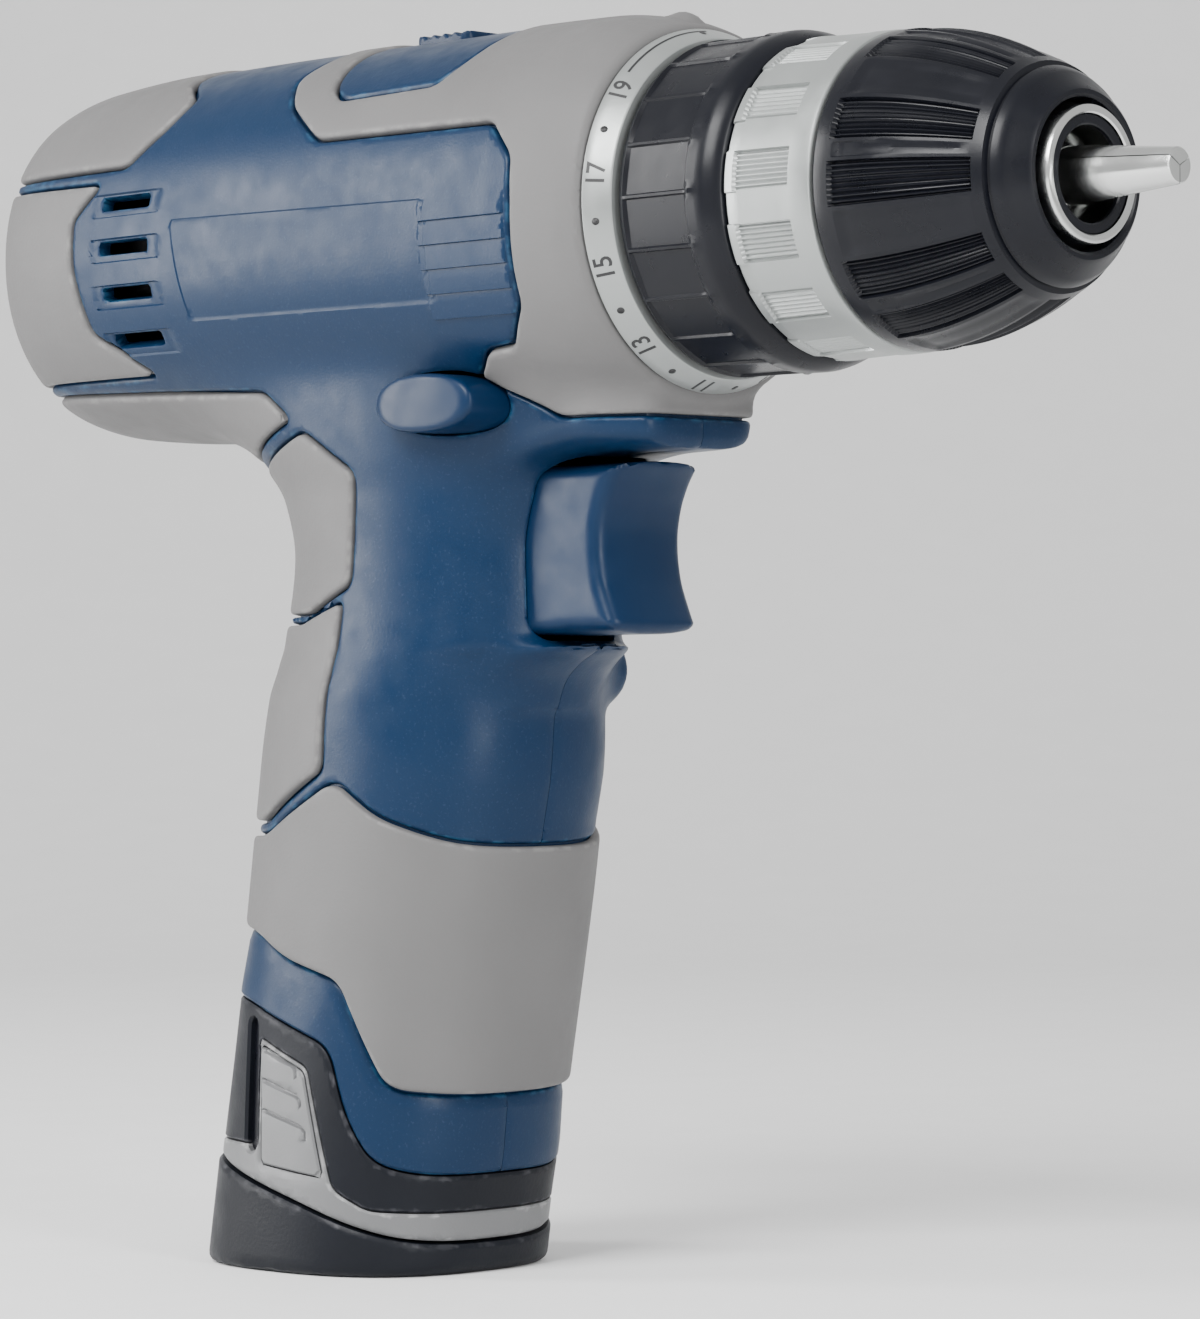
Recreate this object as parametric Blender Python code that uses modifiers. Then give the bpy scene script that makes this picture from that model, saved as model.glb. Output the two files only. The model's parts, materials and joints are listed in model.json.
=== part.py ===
"""Cordless drill driver with a stick battery, built as an assembly.

Run in Blender 4.5: blender --background --python part.py
Frame: origin at the centre of the battery foot's flat underside, +X along the drill axis
towards the chuck, +Z up, +Y to the tool's left side.
All dimensions below are millimetres and are scaled to metres when a mesh is made.
"""
import math

import bmesh
import bpy
from mathutils import Matrix, Vector

MM = 0.001
GAP = 0.3                 # clearance between pieces that touch

# --- driving dimensions -------------------------------------------------------------------
AXIS_Z = 150.4            # height of the drill axis above the foot
LEAN = math.radians(10)   # lean of the grip and battery, foot rearwards
WALL = 2.4                # housing wall
PAD_DEPTH = 1.5           # depth of the recesses that hold the grey pads
PAD_THICK = 1.2           # thickness of the grey pads

# Head sections: x, half width, half height about the drill axis.
HEAD = [(-62, 17, 18), (-60.5, 20.6, 22.2), (-56.5, 23.6, 25.4), (-48, 25.6, 27.2),
        (-30, 26.9, 28.3), (0, 27.5, 28.6), (40, 27.6, 28.6), (56, 27.6, 28.4),
        (64, 26.8, 27.3), (68.2, 25.7, 25.9)]
# Grip sections: z, back x, front x, half width, superellipse exponent.
GRIP = [(16, -21.7, 26.9, 22.3, 2.6), (33, -18.6, 29.9, 22.3, 2.6), (53, -15.4, 34.0, 22.6, 2.5),
        (64, -13.9, 35.9, 22.5, 2.5), (74, -12.6, 37.4, 22.3, 2.5), (83, -11.4, 38.3, 22.0, 2.4),
        (88, -10.7, 41.0, 21.0, 2.3), (91, -10.2, 43.6, 20.3, 2.3), (104, -8.3, 43.4, 19.4, 2.3),
        (112, -10.6, 45.4, 19.6, 2.3), (118, -16, 49, 20.4, 2.3), (124, -24, 53, 20.8, 2.3),
        (133, -31, 55.5, 18.6, 2.3)]
GRIP_FOOT_Z = 15.7        # lower edge of the housing at the front
GRIP_BACK_Z = 35.0        # lower edge of the housing at the back
LEDGE = [(34, 15.3, 112.6, 131), (56, 14.5, 117, 131), (66.4, 11, 117.3, 129), (67.6, 9, 118.5, 127.5)]

BATTERY = (24.2, 22.2, 2.6)         # half length, half width, exponent of the outer outline
INSERT = (21.3, 19.4, 2.6)          # the part of the battery case inside the grip
INSERT_TOP = 78.9
CASE_WALL = 0.8
CELL_R = 8.9
CELL_LENGTH = 64.0

TRIGGER_HALF = 8.8
TRIGGER_Z = (91.6, 116.4)
TRIGGER_PROFILE = [(33.5, 91.9), (57.2, 91.9), (58.4, 93.4), (56.6, 98.0), (55.4, 103.0),
                   (55.5, 107.5), (57.2, 112.2), (60.2, 116.1), (33.5, 116.1)]
BUTTON_AT = (35.2, 124.5)
BUTTON_HALF = (9.6, 4.1)
SELECTOR_X = (12.2, 32.4)
SELECTOR_HALF = 8.0

VENT_Z = (157.2, 150.4, 143.4, 136.4)
VENT_X = (-31.7, -20.5)

MOTOR_R = 18.0
MOTOR_X = (-44.0, 6.0)
MODULE = 0.75
SUN_TEETH, PLANET_TEETH, RING_TEETH = 10, 14, 38
CARRIER_R = MODULE * (SUN_TEETH + PLANET_TEETH) / 2
STAGE_1_X = 10.0
STAGE_2_X = 21.5
GEAR_WIDTH = 5.0
RING_R = 17.2
CASE_R = 19.6
CASE_NECK_R = 13.0
SPINDLE_R = 5.5

SCALE_X = (68.5, 72.6)
FRONT_SLEEVE_X = (106.9, 133.4)
JAW_TIP_X = 151.0
JAW_ANGLE = math.radians(14)
JAW_LENGTH = 28.0
JAW_R = 3.0

# Screws of the clamshell: name, x, z, and the y of the seat under the head.
SCREWS = [("screw_rear", -56.0, 150.4, 18.5), ("screw_nose", 36.5, 174.6, 8.5),
          ("screw_neck", 18, 121.5, 16.5), ("screw_grip", 30.5, 87, 16)]

BLUE = (0.003, 0.052, 0.153)
GREY = (0.27, 0.265, 0.26)
BLACK = (0.012, 0.012, 0.014)
SILVER = (0.55, 0.56, 0.56)
STEEL = (0.6, 0.6, 0.6)
BRASS = (0.72, 0.5, 0.2)
COPPER = (0.75, 0.36, 0.2)


# --- scene helpers ------------------------------------------------------------------------
def clear_scene():
    for ob in list(bpy.data.objects):
        bpy.data.objects.remove(ob, do_unlink=True)


def new_collection(name):
    collection = bpy.data.collections.new(name)
    bpy.context.scene.collection.children.link(collection)
    return collection


def new_material(name, colour, roughness, metallic):
    mat = bpy.data.materials.new(name)
    mat.use_nodes = True
    shader = mat.node_tree.nodes["Principled BSDF"]
    shader.inputs["Base Color"].default_value = (*colour, 1)
    shader.inputs["Roughness"].default_value = roughness
    shader.inputs["Metallic"].default_value = metallic
    mat.diffuse_color = (*colour, 1)
    return mat


def add_object(name, data, look=None, origin=(0, 0, 0), turn=(0, 0, 0)):
    """Link an object: a part when it has a look, otherwise a cutter."""
    ob = bpy.data.objects.new(name, data)
    ob.location = Vector(origin) * MM
    ob.rotation_euler = turn
    if look is None:
        CUTTERS.objects.link(ob)
        ob.hide_render = True
        ob.display_type = "WIRE"
    else:
        PARTS.objects.link(ob)
        ob.data.materials.append(new_material(name, *look))
    return ob


def mesh_from(bm, name):
    bmesh.ops.recalc_face_normals(bm, faces=bm.faces)
    mesh = bpy.data.meshes.new(name)
    bm.to_mesh(mesh)
    bm.free()
    return mesh


def boolean(ob, other, operation="DIFFERENCE"):
    mod = ob.modifiers.new(operation.lower(), "BOOLEAN")
    mod.operation = operation
    mod.solver = "EXACT"
    mod.object = other
    return ob


# --- shapes -------------------------------------------------------------------------------
def loft_mesh(name, rings):
    """A closed skin through rings of equal point count, capped at both ends."""
    bm = bmesh.new()
    rows = [[bm.verts.new(Vector(p) * MM) for p in ring] for ring in rings]
    count = len(rows[0])
    for low, high in zip(rows, rows[1:]):
        for i in range(count):
            j = (i + 1) % count
            bm.faces.new((low[i], low[j], high[j], high[i]))
    bm.faces.new(rows[0])
    bm.faces.new(list(reversed(rows[-1])))
    return mesh_from(bm, name)


def oval(half_a, half_b, exponent, count):
    """Points of a superellipse, counter-clockwise from the +a end."""
    points = []
    for i in range(count):
        t = 2 * math.pi * i / count
        c, s = math.cos(t), math.sin(t)
        points.append((half_a * math.copysign(abs(c) ** (2 / exponent), c),
                       half_b * math.copysign(abs(s) ** (2 / exponent), s)))
    return points


def prism(name, outline, y_range, look=None, origin=(0, 0, 0)):
    """An x-z outline pushed along y, relative to the origin."""
    ox, oy, oz = origin
    rings = [[(x - ox, y - oy, z - oz) for x, z in outline] for y in y_range]
    return add_object(name, loft_mesh(name, rings), look, origin)


def box(name, low, high, look=None, origin=(0, 0, 0)):
    bm = bmesh.new()
    bmesh.ops.create_cube(bm, size=1)
    size = [(h - l) * MM for l, h in zip(low, high)]
    middle = [((h + l) / 2 - o) * MM for l, h, o in zip(low, high, origin)]
    bmesh.ops.transform(bm, matrix=Matrix.Translation(middle) @ Matrix.Diagonal((*size, 1)),
                        verts=bm.verts)
    return add_object(name, mesh_from(bm, name), look, origin)


def cylinders(name, items, look=None, origin=(0, 0, 0), segments=24):
    """Separate cylinders in one mesh: each item is start, end, radius."""
    bm = bmesh.new()
    for start, end, radius in items:
        a, b = Vector(start), Vector(end)
        middle = (a + b) / 2 - Vector(origin)
        turn = (b - a).to_track_quat("Z", "Y").to_matrix().to_4x4()
        bmesh.ops.create_cone(bm, cap_ends=True, segments=segments, radius1=radius * MM,
                              radius2=radius * MM, depth=(b - a).length * MM,
                              matrix=Matrix.Translation(middle * MM) @ turn)
    return add_object(name, mesh_from(bm, name), look, origin)


def turned(name, profile, look=None, steps=30, x0=0.0):
    """A profile of (radius, x) points turned about the drill axis, closed as a loop
    when it has a bore and open to the axis when it starts and ends at radius 0."""
    mesh = bpy.data.meshes.new(name)
    solid = profile[0][0] == 0 and profile[-1][0] == 0
    edges = [(i, i + 1) for i in range(len(profile) - 1)]
    if not solid:
        edges.append((len(profile) - 1, 0))
    mesh.from_pydata([(r * MM, 0, (x - x0) * MM) for r, x in profile], edges, [])
    ob = add_object(name, mesh, look, (x0, 0, AXIS_Z), (0, math.pi / 2, 0))
    mod = ob.modifiers.new("turn", "SCREW")
    mod.axis = "Z"
    mod.steps = mod.render_steps = steps
    mod.use_merge_vertices = True
    mod.merge_threshold = 0.00001
    return ob


def tube(name, x_range, inner, outer, look=None, steps=30, x0=0.0):
    x_low, x_high = x_range
    return turned(name, [(inner, x_high), (outer, x_high), (outer, x_low), (inner, x_low)],
                  look, steps, x0)


def rod(name, x_range, radius, segments=36):
    """A cutter: a plain cylinder along the drill axis."""
    return cylinders(name, [((x_range[0], 0, AXIS_Z), (x_range[1], 0, AXIS_Z), radius)],
                     segments=segments)


def gear_outline(teeth, outside, phase=0.0, backlash=0.10):
    """Tooth outline of a spur gear, four points a tooth; outside is False for a ring."""
    pitch_r = MODULE * teeth / 2
    sign = 1 if outside else -1
    tip, root = pitch_r + sign * MODULE * 0.85, pitch_r - sign * MODULE * 1.15
    tooth = 2 * math.pi / teeth
    play = backlash / pitch_r
    points = []
    for i in range(teeth):
        middle = phase + i * tooth
        for half, radius in ((-0.36, root), (-0.15, tip), (0.15, tip), (0.36, root)):
            angle = middle + half * tooth - math.copysign(play, half)
            points.append((radius * math.cos(angle), radius * math.sin(angle)))
    return points


def gear_prism(name, outline, x_range, look=None, centre=(0, 0), x0=0.0):
    """A tooth outline pushed along the drill axis, about its own centre (y, z)."""
    rings = [[(x - x0, y, z) for y, z in outline] for x in x_range]
    return add_object(name, loft_mesh(name, rings), look, (x0, centre[0], AXIS_Z + centre[1]))


# --- the body's outer form ----------------------------------------------------------------
def lean_x(z):
    """Centre of the battery's outline at height z."""
    return math.tan(LEAN) * (z - 3.0)


def body_form(name, inset):
    """Head, grip and trigger ledge joined, every surface moved inwards by inset."""
    head = []
    for x, half_w, half_h in HEAD:
        shift = inset if x < -60 else 0
        ring = [(x + shift, y, AXIS_Z + z) for y, z in oval(half_w - inset, half_h - inset, 2.1, 26)]
        head.append(ring)
    head[-1] = [(x + (8 if inset else 0), y, z) for x, y, z in head[-1]]
    ob = add_object(name, loft_mesh(name, head), None)
    grip = []
    for z, back, front, half_w, exponent in GRIP:
        centre, half_l = (back + front) / 2, (front - back) / 2
        z_at = z - (12 if inset and z == GRIP[0][0] else 0)
        outline = oval(half_l - inset, half_w - inset, exponent, 24)
        grip.append([(centre + x - math.tan(LEAN) * (z - z_at), y, z_at) for x, y in outline])
    boolean(ob, add_object(name + "_grip", loft_mesh(name + "_grip", grip)), "UNION")
    ledge = []
    for x, half_w, low, high in LEDGE:
        middle, half_h = (low + high) / 2, (high - low) / 2
        outline = oval(half_w - inset, half_h - inset, 4, 20)
        ledge.append([(x - inset, y, middle + z) for y, z in outline])
    return boolean(ob, add_object(name + "_ledge", loft_mesh(name + "_ledge", ledge)), "UNION")


# Outlines of the grey pads as x-z regions; each wraps round both sides of the body.
PADS = {
    "rear_top_pad": [(-80, 162.8), (-27.5, 162.8), (-21.5, 168.5), (-19.5, 172.5), (-26, 176),
                     (-26, 190), (-80, 190)],
    "rear_cap": [(-80, 161.2), (-33, 160.2), (-38.6, 155.2), (-38.6, 148.0), (-36.4, 137.8),
                 (-26, 131.2), (-80, 131.2)],
    "rear_bottom_pad": [(-80, 129.8), (-2.5, 127.6), (3, 123.6), (-24, 114.5), (-80, 114.5)],
    "nose_cover": [(72, 190), (9.0, 190), (4.6, 176.6), (2.8, 173.4), (6.3, 169.0), (15.2, 163.2),
                   (51.2, 162.8), (56.4, 157.4), (56.8, 150.7), (56.2, 137.0), (51.3, 131.4),
                   (45.4, 130.9), (42.0, 127.6), (53.5, 122.2), (72, 122.2)],
    "grip_pad_upper": [(-30, 109.7), (6.0, 121.6), (16.4, 115.4), (15.0, 99.6), (5.4, 95.6),
                       (-30, 95.6)],
    "grip_pad_lower": [(-30, 94.0), (3.5, 94.0), (13.4, 97.0), (11.3, 72.9), (-2.5, 65.6),
                       (-30, 64.6)],
    "grip_sleeve": [(-40, 62.2), (-1.4, 63.4), (14.2, 71.3), (22.0, 66.2), (33.0, 62.0),
                    (46.0, 60.0), (60.0, 64.0), (60.0, 33.0), (60.0, 31.0), (44.0, 26.2),
                    (32.8, 25.4), (21.5, 27.4), (15.0, 42.8), (4.4, 45.6), (-3.0, 49.2),
                    (-40, 54.0)],
}

# The window in the nose cover that shows the shell and the speed selector.
WINDOW = [(12.0, 190), (11.0, 176.5), (11.6, 174.2), (13.1, 170.9), (16.5, 168.8), (36.0, 169.3),
          (39.3, 173.1), (42.0, 179.0), (42.0, 190)]


def grown(outline, amount):
    """The same outline with every edge moved outwards by amount."""
    count = len(outline)
    area = sum(outline[i][0] * outline[(i + 1) % count][1] - outline[(i + 1) % count][0] * outline[i][1]
               for i in range(count))
    side = amount if area > 0 else -amount
    lines = []
    for i in range(count):
        a, b = Vector(outline[i]), Vector(outline[(i + 1) % count])
        along = (b - a).normalized()
        out = Vector((along.y, -along.x)) * side
        lines.append((a + out, along))
    corners = []
    for i in range(count):
        (p, u), (q, v) = lines[i - 1], lines[i]
        cross = u.x * v.y - u.y * v.x
        if abs(cross) < 1e-6:
            corners.append(tuple(q))
        else:
            t = ((q.x - p.x) * v.y - (q.y - p.y) * v.x) / cross
            corners.append(tuple(p + u * t))
    return corners


# --- housing ------------------------------------------------------------------------------
def cavity_form():
    """The space inside the housing, less the ribs and screw bosses that stand in it."""
    cavity = body_form("cavity", WALL)
    bosses = cylinders("screw_bosses", [((x, -30, z), (x, y + 3, z), 3.6) for _, x, z, y in SCREWS],
                       segments=16)
    boolean(cavity, bosses)
    for index, (x, radius) in enumerate([(-38, MOTOR_R), (-4, MOTOR_R), (32, CASE_R)]):
        rib = box("rib_%d" % index, (x, -40, 141), (x + 2, 40, 190))
        boolean(rib, rod("rib_room_%d" % index, (x - 3, x + 5), radius + GAP, 34))
        boolean(cavity, rib)
    return cavity


def housing_cutters():
    """Everything cut through the housing walls."""
    button = [(BUTTON_AT[0] + x, BUTTON_AT[1] + z)
              for x, z in oval(BUTTON_HALF[0] + GAP, BUTTON_HALF[1] + GAP, 2.3, 28)]
    cutters = [
        prism("button_hole", button, (-40, 40)),
        box("trigger_opening",
            (30, -TRIGGER_HALF - GAP, TRIGGER_Z[0]),
            (70, TRIGGER_HALF + GAP, TRIGGER_Z[1])),
        box("selector_window", (SELECTOR_X[0], -SELECTOR_HALF, 170), (SELECTOR_X[1], SELECTOR_HALF, 190)),
        rod("nose_bore", (60, 90), 22.5),
        prism("foot_trim", [(-60, GRIP_BACK_Z), (13.5, GRIP_BACK_Z - 4), (20, GRIP_FOOT_Z + 1.5),
                            (25, GRIP_FOOT_Z), (60, GRIP_FOOT_Z), (60, -20), (-60, -20)], (-40, 40)),
    ]
    for index, z in enumerate(VENT_Z):
        cutters.append(box("vent_%d" % index, (VENT_X[0], -40, z - 1.2), (VENT_X[1], 40, z + 1.2)))
    heads = [((x, y, z), (x, 40, z), 2.9) for _, x, z, y in SCREWS]
    shafts = [((x, y - 15.2, z), (x, y + 1, z), 1.8) for _, x, z, y in SCREWS]
    cutters.append(cylinders("screw_heads_room", heads, segments=14))
    cutters.append(cylinders("screw_shafts_room", shafts, segments=8))
    return cutters


def build_housing():
    cavity = cavity_form()
    core = body_form("pad_floor", PAD_DEPTH)
    recesses = []
    for name, outline in PADS.items():
        recess = prism(name + "_recess", grown(outline, GAP), (-45, 45))
        recesses.append(boolean(recess, core))
    cutters = housing_cutters()
    for name, side in (("housing_right", -1), ("housing_left", 1)):
        shell = body_form(name, 0)
        CUTTERS.objects.unlink(shell)
        PARTS.objects.link(shell)
        shell.hide_render = False
        shell.display_type = "TEXTURED"
        shell.data.materials.append(new_material(name, BLUE, 0.35, 0))
        low, high = (-60, -0.15) if side < 0 else (0.15, 60)
        half = box(name + "_side", (-90, low, -30), (90, high, 200))
        for cutter in [cavity] + recesses + cutters:
            boolean(shell, cutter)
        boolean(shell, half, "INTERSECT")


def build_pads():
    outer = body_form("pad_skin", 0)
    inner = body_form("pad_back", PAD_THICK)
    button = bpy.data.objects["button_hole"]
    selector = prism("cover_window", WINDOW, (-45, 45))
    bore = rod("nose_cover_bore", (60, 90), 23.2)
    for name, outline in PADS.items():
        pad = prism(name, outline, (-44, 44), (GREY, 0.6, 0))
        boolean(pad, outer, "INTERSECT")
        boolean(pad, inner)
        if name == "nose_cover":
            for cutter in (selector, bore, button):
                boolean(pad, cutter)
        if name in ("nose_cover", "rear_cap"):
            boolean(pad, bpy.data.objects["screw_heads_room"])


# --- battery ------------------------------------------------------------------------------
def leaning_solid(name, section, z_range, look=None, count=28):
    """The battery's outline pushed along the grip's lean."""
    half_l, half_w, exponent = section
    rings = [[(lean_x(z) + x, y, z) for x, y in oval(half_l, half_w, exponent, count)] for z in z_range]
    return add_object(name, loft_mesh(name, rings), look)


def shrunk(section, amount):
    return (section[0] - amount, section[1] - amount, section[2])


def build_battery():
    case = leaning_solid("battery_case", INSERT, (6.5, INSERT_TOP), (BLACK, 0.5, 0))
    flange = leaning_solid("case_flange", BATTERY, (11.2, GRIP_BACK_Z))
    boolean(flange, prism("flange_trim", [(-60, GRIP_BACK_Z - GAP), (13.3, GRIP_BACK_Z - 4 - GAP),
                                          (19.7, GRIP_FOOT_Z + 1.5 - GAP), (24.9, GRIP_FOOT_Z - GAP),
                                          (60, GRIP_FOOT_Z - GAP), (60, -20), (-60, -20)], (-50, 50)),
            "INTERSECT")
    boolean(case, flange, "UNION")
    boolean(case, leaning_solid("case_room", shrunk(INSERT, CASE_WALL), (0, INSERT_TOP - 1.4)))
    slots = cylinders("blade_slots", [((lean_x(80) + x, y, 76), (lean_x(80) + x, y, 84), 2.0)
                                      for x, y in ((-6, -7), (-6, 7), (6, 0))], segments=12)
    boolean(case, slots)
    for name, side in (("battery_latch_right", -1), ("battery_latch_left", 1)):
        outline = [(-3.5, 14.0), (11.5, 14.0), (7.2, 30.0), (-1.5, 31.2)]
        latch = prism(name, outline, (side * 20.7, side * 40), (GREY, 0.5, 0), (2.0, side * 22, 22))
        boolean(latch, leaning_solid(name + "_face", BATTERY, (5, 45)), "INTERSECT")
        boolean(case, prism(name + "_pocket", grown(outline, GAP), (side * 19.45, side * 40)))
    band = leaning_solid("battery_band", BATTERY, (6.6, 10.9), (GREY, 0.5, 0))
    boolean(band, leaning_solid("band_room", (INSERT[0] + GAP, INSERT[1] + GAP, INSERT[2]), (0, 20)))
    cap = leaning_solid("battery_cap", BATTERY, (0, 6.3), (BLACK, 0.55, 0))
    boolean(cap, leaning_solid("cap_room", shrunk(BATTERY, 2.2), (3.4, 12)))
    tilt = Vector((math.sin(LEAN), 0, math.cos(LEAN)))
    start = Vector((lean_x(9.5), 0, 9.5))
    for name, x, y in (("cell_right", 4.7, -9.05), ("cell_left", 4.7, 9.05), ("cell_rear", -10.9, 0)):
        low = start + Vector((x * math.cos(LEAN), y, -x * math.sin(LEAN)))
        cylinders(name, [(low, low + tilt * CELL_LENGTH, CELL_R)], ((0.05, 0.2, 0.09), 0.35, 0), segments=20)
    block = box("terminal_block", (4.0, -12.5, 81.6), (24.0, 12.5, 88.0), (BLACK, 0.5, 0))
    blades = cylinders("blades", [((lean_x(80) + x, y, 76.6), (lean_x(80) + x, y, 83), 1.2)
                                  for x, y in ((-6, -7), (-6, 7), (6, 0))], segments=10)
    boolean(block, blades, "UNION")


# --- controls -----------------------------------------------------------------------------
def build_controls():
    trigger = prism("trigger", TRIGGER_PROFILE, (-TRIGGER_HALF, TRIGGER_HALF), (BLUE, 0.4, 0),
                    (45, 0, 104))
    bevel = trigger.modifiers.new("soft_edges", "BEVEL")
    bevel.width = 1.2 * MM
    bevel.segments = 2
    bevel.limit_method = "ANGLE"
    box("switch_module", (6.5, -8.5, 92), (27.0, 8.5, 117.3), (BLACK, 0.5, 0))

    heads = [(BUTTON_AT[0] + x, BUTTON_AT[1] + z) for x, z in oval(*BUTTON_HALF, 2.3, 28)]
    button = prism("direction_button", heads, (-24.2, 24.2), (BLUE, 0.4, 0),
                   (BUTTON_AT[0], 0, BUTTON_AT[1]))
    for side in (-1, 1):
        waist = [(BUTTON_AT[0] + x, BUTTON_AT[1] + z) for x, z in ((-20, -9), (-4, -9), (-4, 9), (-20, 9))]
        mirror = [(2 * BUTTON_AT[0] - x, z) for x, z in waist]
        boolean(button, prism("button_waist_%d" % side, waist if side < 0 else mirror, (-17.5, 17.5)))

    slider = box("speed_selector", (13.4, -6.8, 176.0), (27.8, 6.8, 177.0), (BLUE, 0.4, 0),
                 (20.6, 0, 177))
    boolean(slider, box("selector_knob", (15, -5.4, 176.5), (26.2, 5.4, 179.6)), "UNION")
    boolean(slider, box("selector_leg", (19.0, -2.0, 173.9), (22.0, 2.0, 176.5)), "UNION")
    fork = tube("shift_fork", (10.0, 12.0), CASE_R + 0.4, CASE_R + 1.9, (STEEL, 0.35, 1), 32)
    boolean(fork, box("fork_open", (5, -30, 100), (20, 30, 146)))
    boolean(fork, box("fork_post", (10.2, -1.6, AXIS_Z + CASE_R + 1.2), (11.8, 1.6, 173.5)), "UNION")
    boolean(fork, box("fork_arm", (10.2, -1.6, 172.3), (21.8, 1.6, 173.5)), "UNION")

    wires = (("motor_wire_red", -5.5, (0.5, 0.01, 0.01)), ("motor_wire_black", 5.5, BLACK))
    for name, y, colour in wires:
        route = [(10, y * 0.5, 117.9), (4, y, 124), (-12, y, 127.2), (-36, y, 128), (-48.4, y, 131.0),
                 (-49.2, y, 133.8)]
        curve = bpy.data.curves.new(name, "CURVE")
        curve.dimensions = "3D"
        spline = curve.splines.new("POLY")
        spline.points.add(len(route) - 1)
        for point, place in zip(spline.points, route):
            point.co = (*(Vector(place) * MM), 1)
        curve.bevel_depth = 0.9 * MM
        curve.bevel_resolution = 1
        curve.use_fill_caps = True
        add_object(name, curve, (colour, 0.4, 0))


# --- motor --------------------------------------------------------------------------------
def build_motor():
    rear, front = MOTOR_X
    turned("motor_can", [(16.4, rear), (16.4, front - 1.6), (3.2, front - 1.6), (3.2, front),
                         (MOTOR_R, front), (MOTOR_R, rear)], (SILVER, 0.35, 1))
    tube("motor_magnets", (rear + 8, front - 12), 13.4, 16.1, (BLACK, 0.6, 0), 32)
    turned("motor_end_cap", [(3.2, rear - 6.2), (3.2, rear - 0.3), (MOTOR_R, rear - 0.3),
                             (MOTOR_R - 0.4, rear - 2.6), (12, rear - 6.2)], (BLACK, 0.5, 0))
    turned("armature", [(0, 14.8), (1.6, 14.8), (1.6, -5.5), (12.6, -5.5), (12.6, -33), (5.5, -33),
                        (5.5, -42.5), (1.6, -42.5), (1.6, -52), (0, -52)], (COPPER, 0.4, 1), 32)
    tube("motor_bearing", (rear - 8.1, rear - 6.5), 1.9, 5.0, (BRASS, 0.35, 1), 24)
    fan = turned("motor_fan", [(1.9, -0.6), (12.8, -0.6), (12.8, -1.6), (1.9, -1.6)], (BLACK, 0.5, 0), 32)
    for index in range(6):
        blade = box("fan_blade_%d" % index, (-4.6, -0.5, 3.5), (-1.2, 0.5, 12.5))
        blade.location = (0, 0, AXIS_Z * MM)
        blade.rotation_euler = (index * math.pi / 3, 0, 0)
        boolean(fan, blade, "UNION")
    pinion = gear_prism("motor_pinion", gear_outline(SUN_TEETH, True), (STAGE_1_X, STAGE_1_X + GEAR_WIDTH),
                        (STEEL, 0.35, 1))
    boolean(pinion, rod("pinion_bore", (5, 20), 1.9, 12))


# --- gear train ---------------------------------------------------------------------------
def planet_phase(place):
    """Tooth phase that meshes a planet with both its sun and its ring gear."""
    return math.pi + place + (place * SUN_TEETH + math.pi) / PLANET_TEETH


def build_gear_stage(stage, x0):
    ring = gear_outline(RING_TEETH, False)
    name = "ring_gear_%d" % stage
    length = 7.0
    body = tube(name, (x0 - 1, x0 - 1 + length), 10, RING_R, (STEEL, 0.4, 1), 32)
    teeth_room = gear_prism(name + "_teeth", ring, (x0 - 3, x0 + length + 2))
    boolean(body, teeth_room)
    for index in range(3):
        place = 2 * math.pi * index / 3
        y, z = CARRIER_R * math.cos(place), CARRIER_R * math.sin(place)
        planet = gear_prism("planet_%d_%s" % (stage, "abc"[index]),
                            gear_outline(PLANET_TEETH, True, planet_phase(place)),
                            (x0, x0 + GEAR_WIDTH), (STEEL, 0.35, 1), (y, z), x0)
        at_y, at_z = y, AXIS_Z + z
        boolean(planet, cylinders("planet_bore_%d_%d" % (stage, index),
                                  [((x0 - 2, at_y, at_z), (x0 + 9, at_y, at_z), 1.9)], segments=16))


def carrier_pins(name, x_low, x_high):
    items = []
    for index in range(3):
        place = 2 * math.pi * index / 3
        y, z = CARRIER_R * math.cos(place), AXIS_Z + CARRIER_R * math.sin(place)
        items.append(((x_low, y, z), (x_high, y, z), 1.6))
    return cylinders(name, items, segments=14)


def build_gear_train():
    build_gear_stage(1, STAGE_1_X)
    build_gear_stage(2, STAGE_2_X)
    disc_1 = STAGE_1_X + GEAR_WIDTH + GAP
    carrier_1 = tube("carrier_1", (disc_1, disc_1 + 2.4), 1.0, 12.6, (STEEL, 0.35, 1), 32)
    boolean(carrier_1, carrier_pins("carrier_1_pins", STAGE_1_X, disc_1 + 1), "UNION")
    sun = gear_prism("carrier_1_sun", gear_outline(SUN_TEETH, True), (disc_1 + 1, STAGE_2_X + GEAR_WIDTH))
    boolean(carrier_1, sun, "UNION")
    disc_2 = STAGE_2_X + GEAR_WIDTH + GAP
    carrier_2 = tube("carrier_2", (disc_2, disc_2 + 2.6), 1.0, 12.6, (STEEL, 0.35, 1), 32)
    boolean(carrier_2, carrier_pins("carrier_2_pins", STAGE_2_X, disc_2 + 1), "UNION")
    end = disc_2 + 2.6
    turned("spindle", [(0, 62.0), (2.6, 64.0), (2.6, 103.0),
                       (SPINDLE_R - 1, 103.0), (SPINDLE_R, 102.0), (SPINDLE_R, end + 6),
                       (9.5, end + 6), (9.5, end + GAP), (0, end + GAP)], (STEEL, 0.3, 1), 32)
    turned("gear_case", [(10.7, 87.5), (CASE_NECK_R, 87.5), (CASE_NECK_R, 44), (24.2, 44), (24.2, 41.5),
                         (CASE_R, 41.5), (CASE_R, 9.0), (RING_R + GAP, 9.0), (RING_R + GAP, 38.5),
                         (10.7, 38.5)], ((0.2, 0.2, 0.21), 0.5, 1), 32)
    tube("spindle_bearing", (80.5, 87.0), SPINDLE_R + GAP, 10.4, (STEEL, 0.3, 1), 32)


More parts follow.
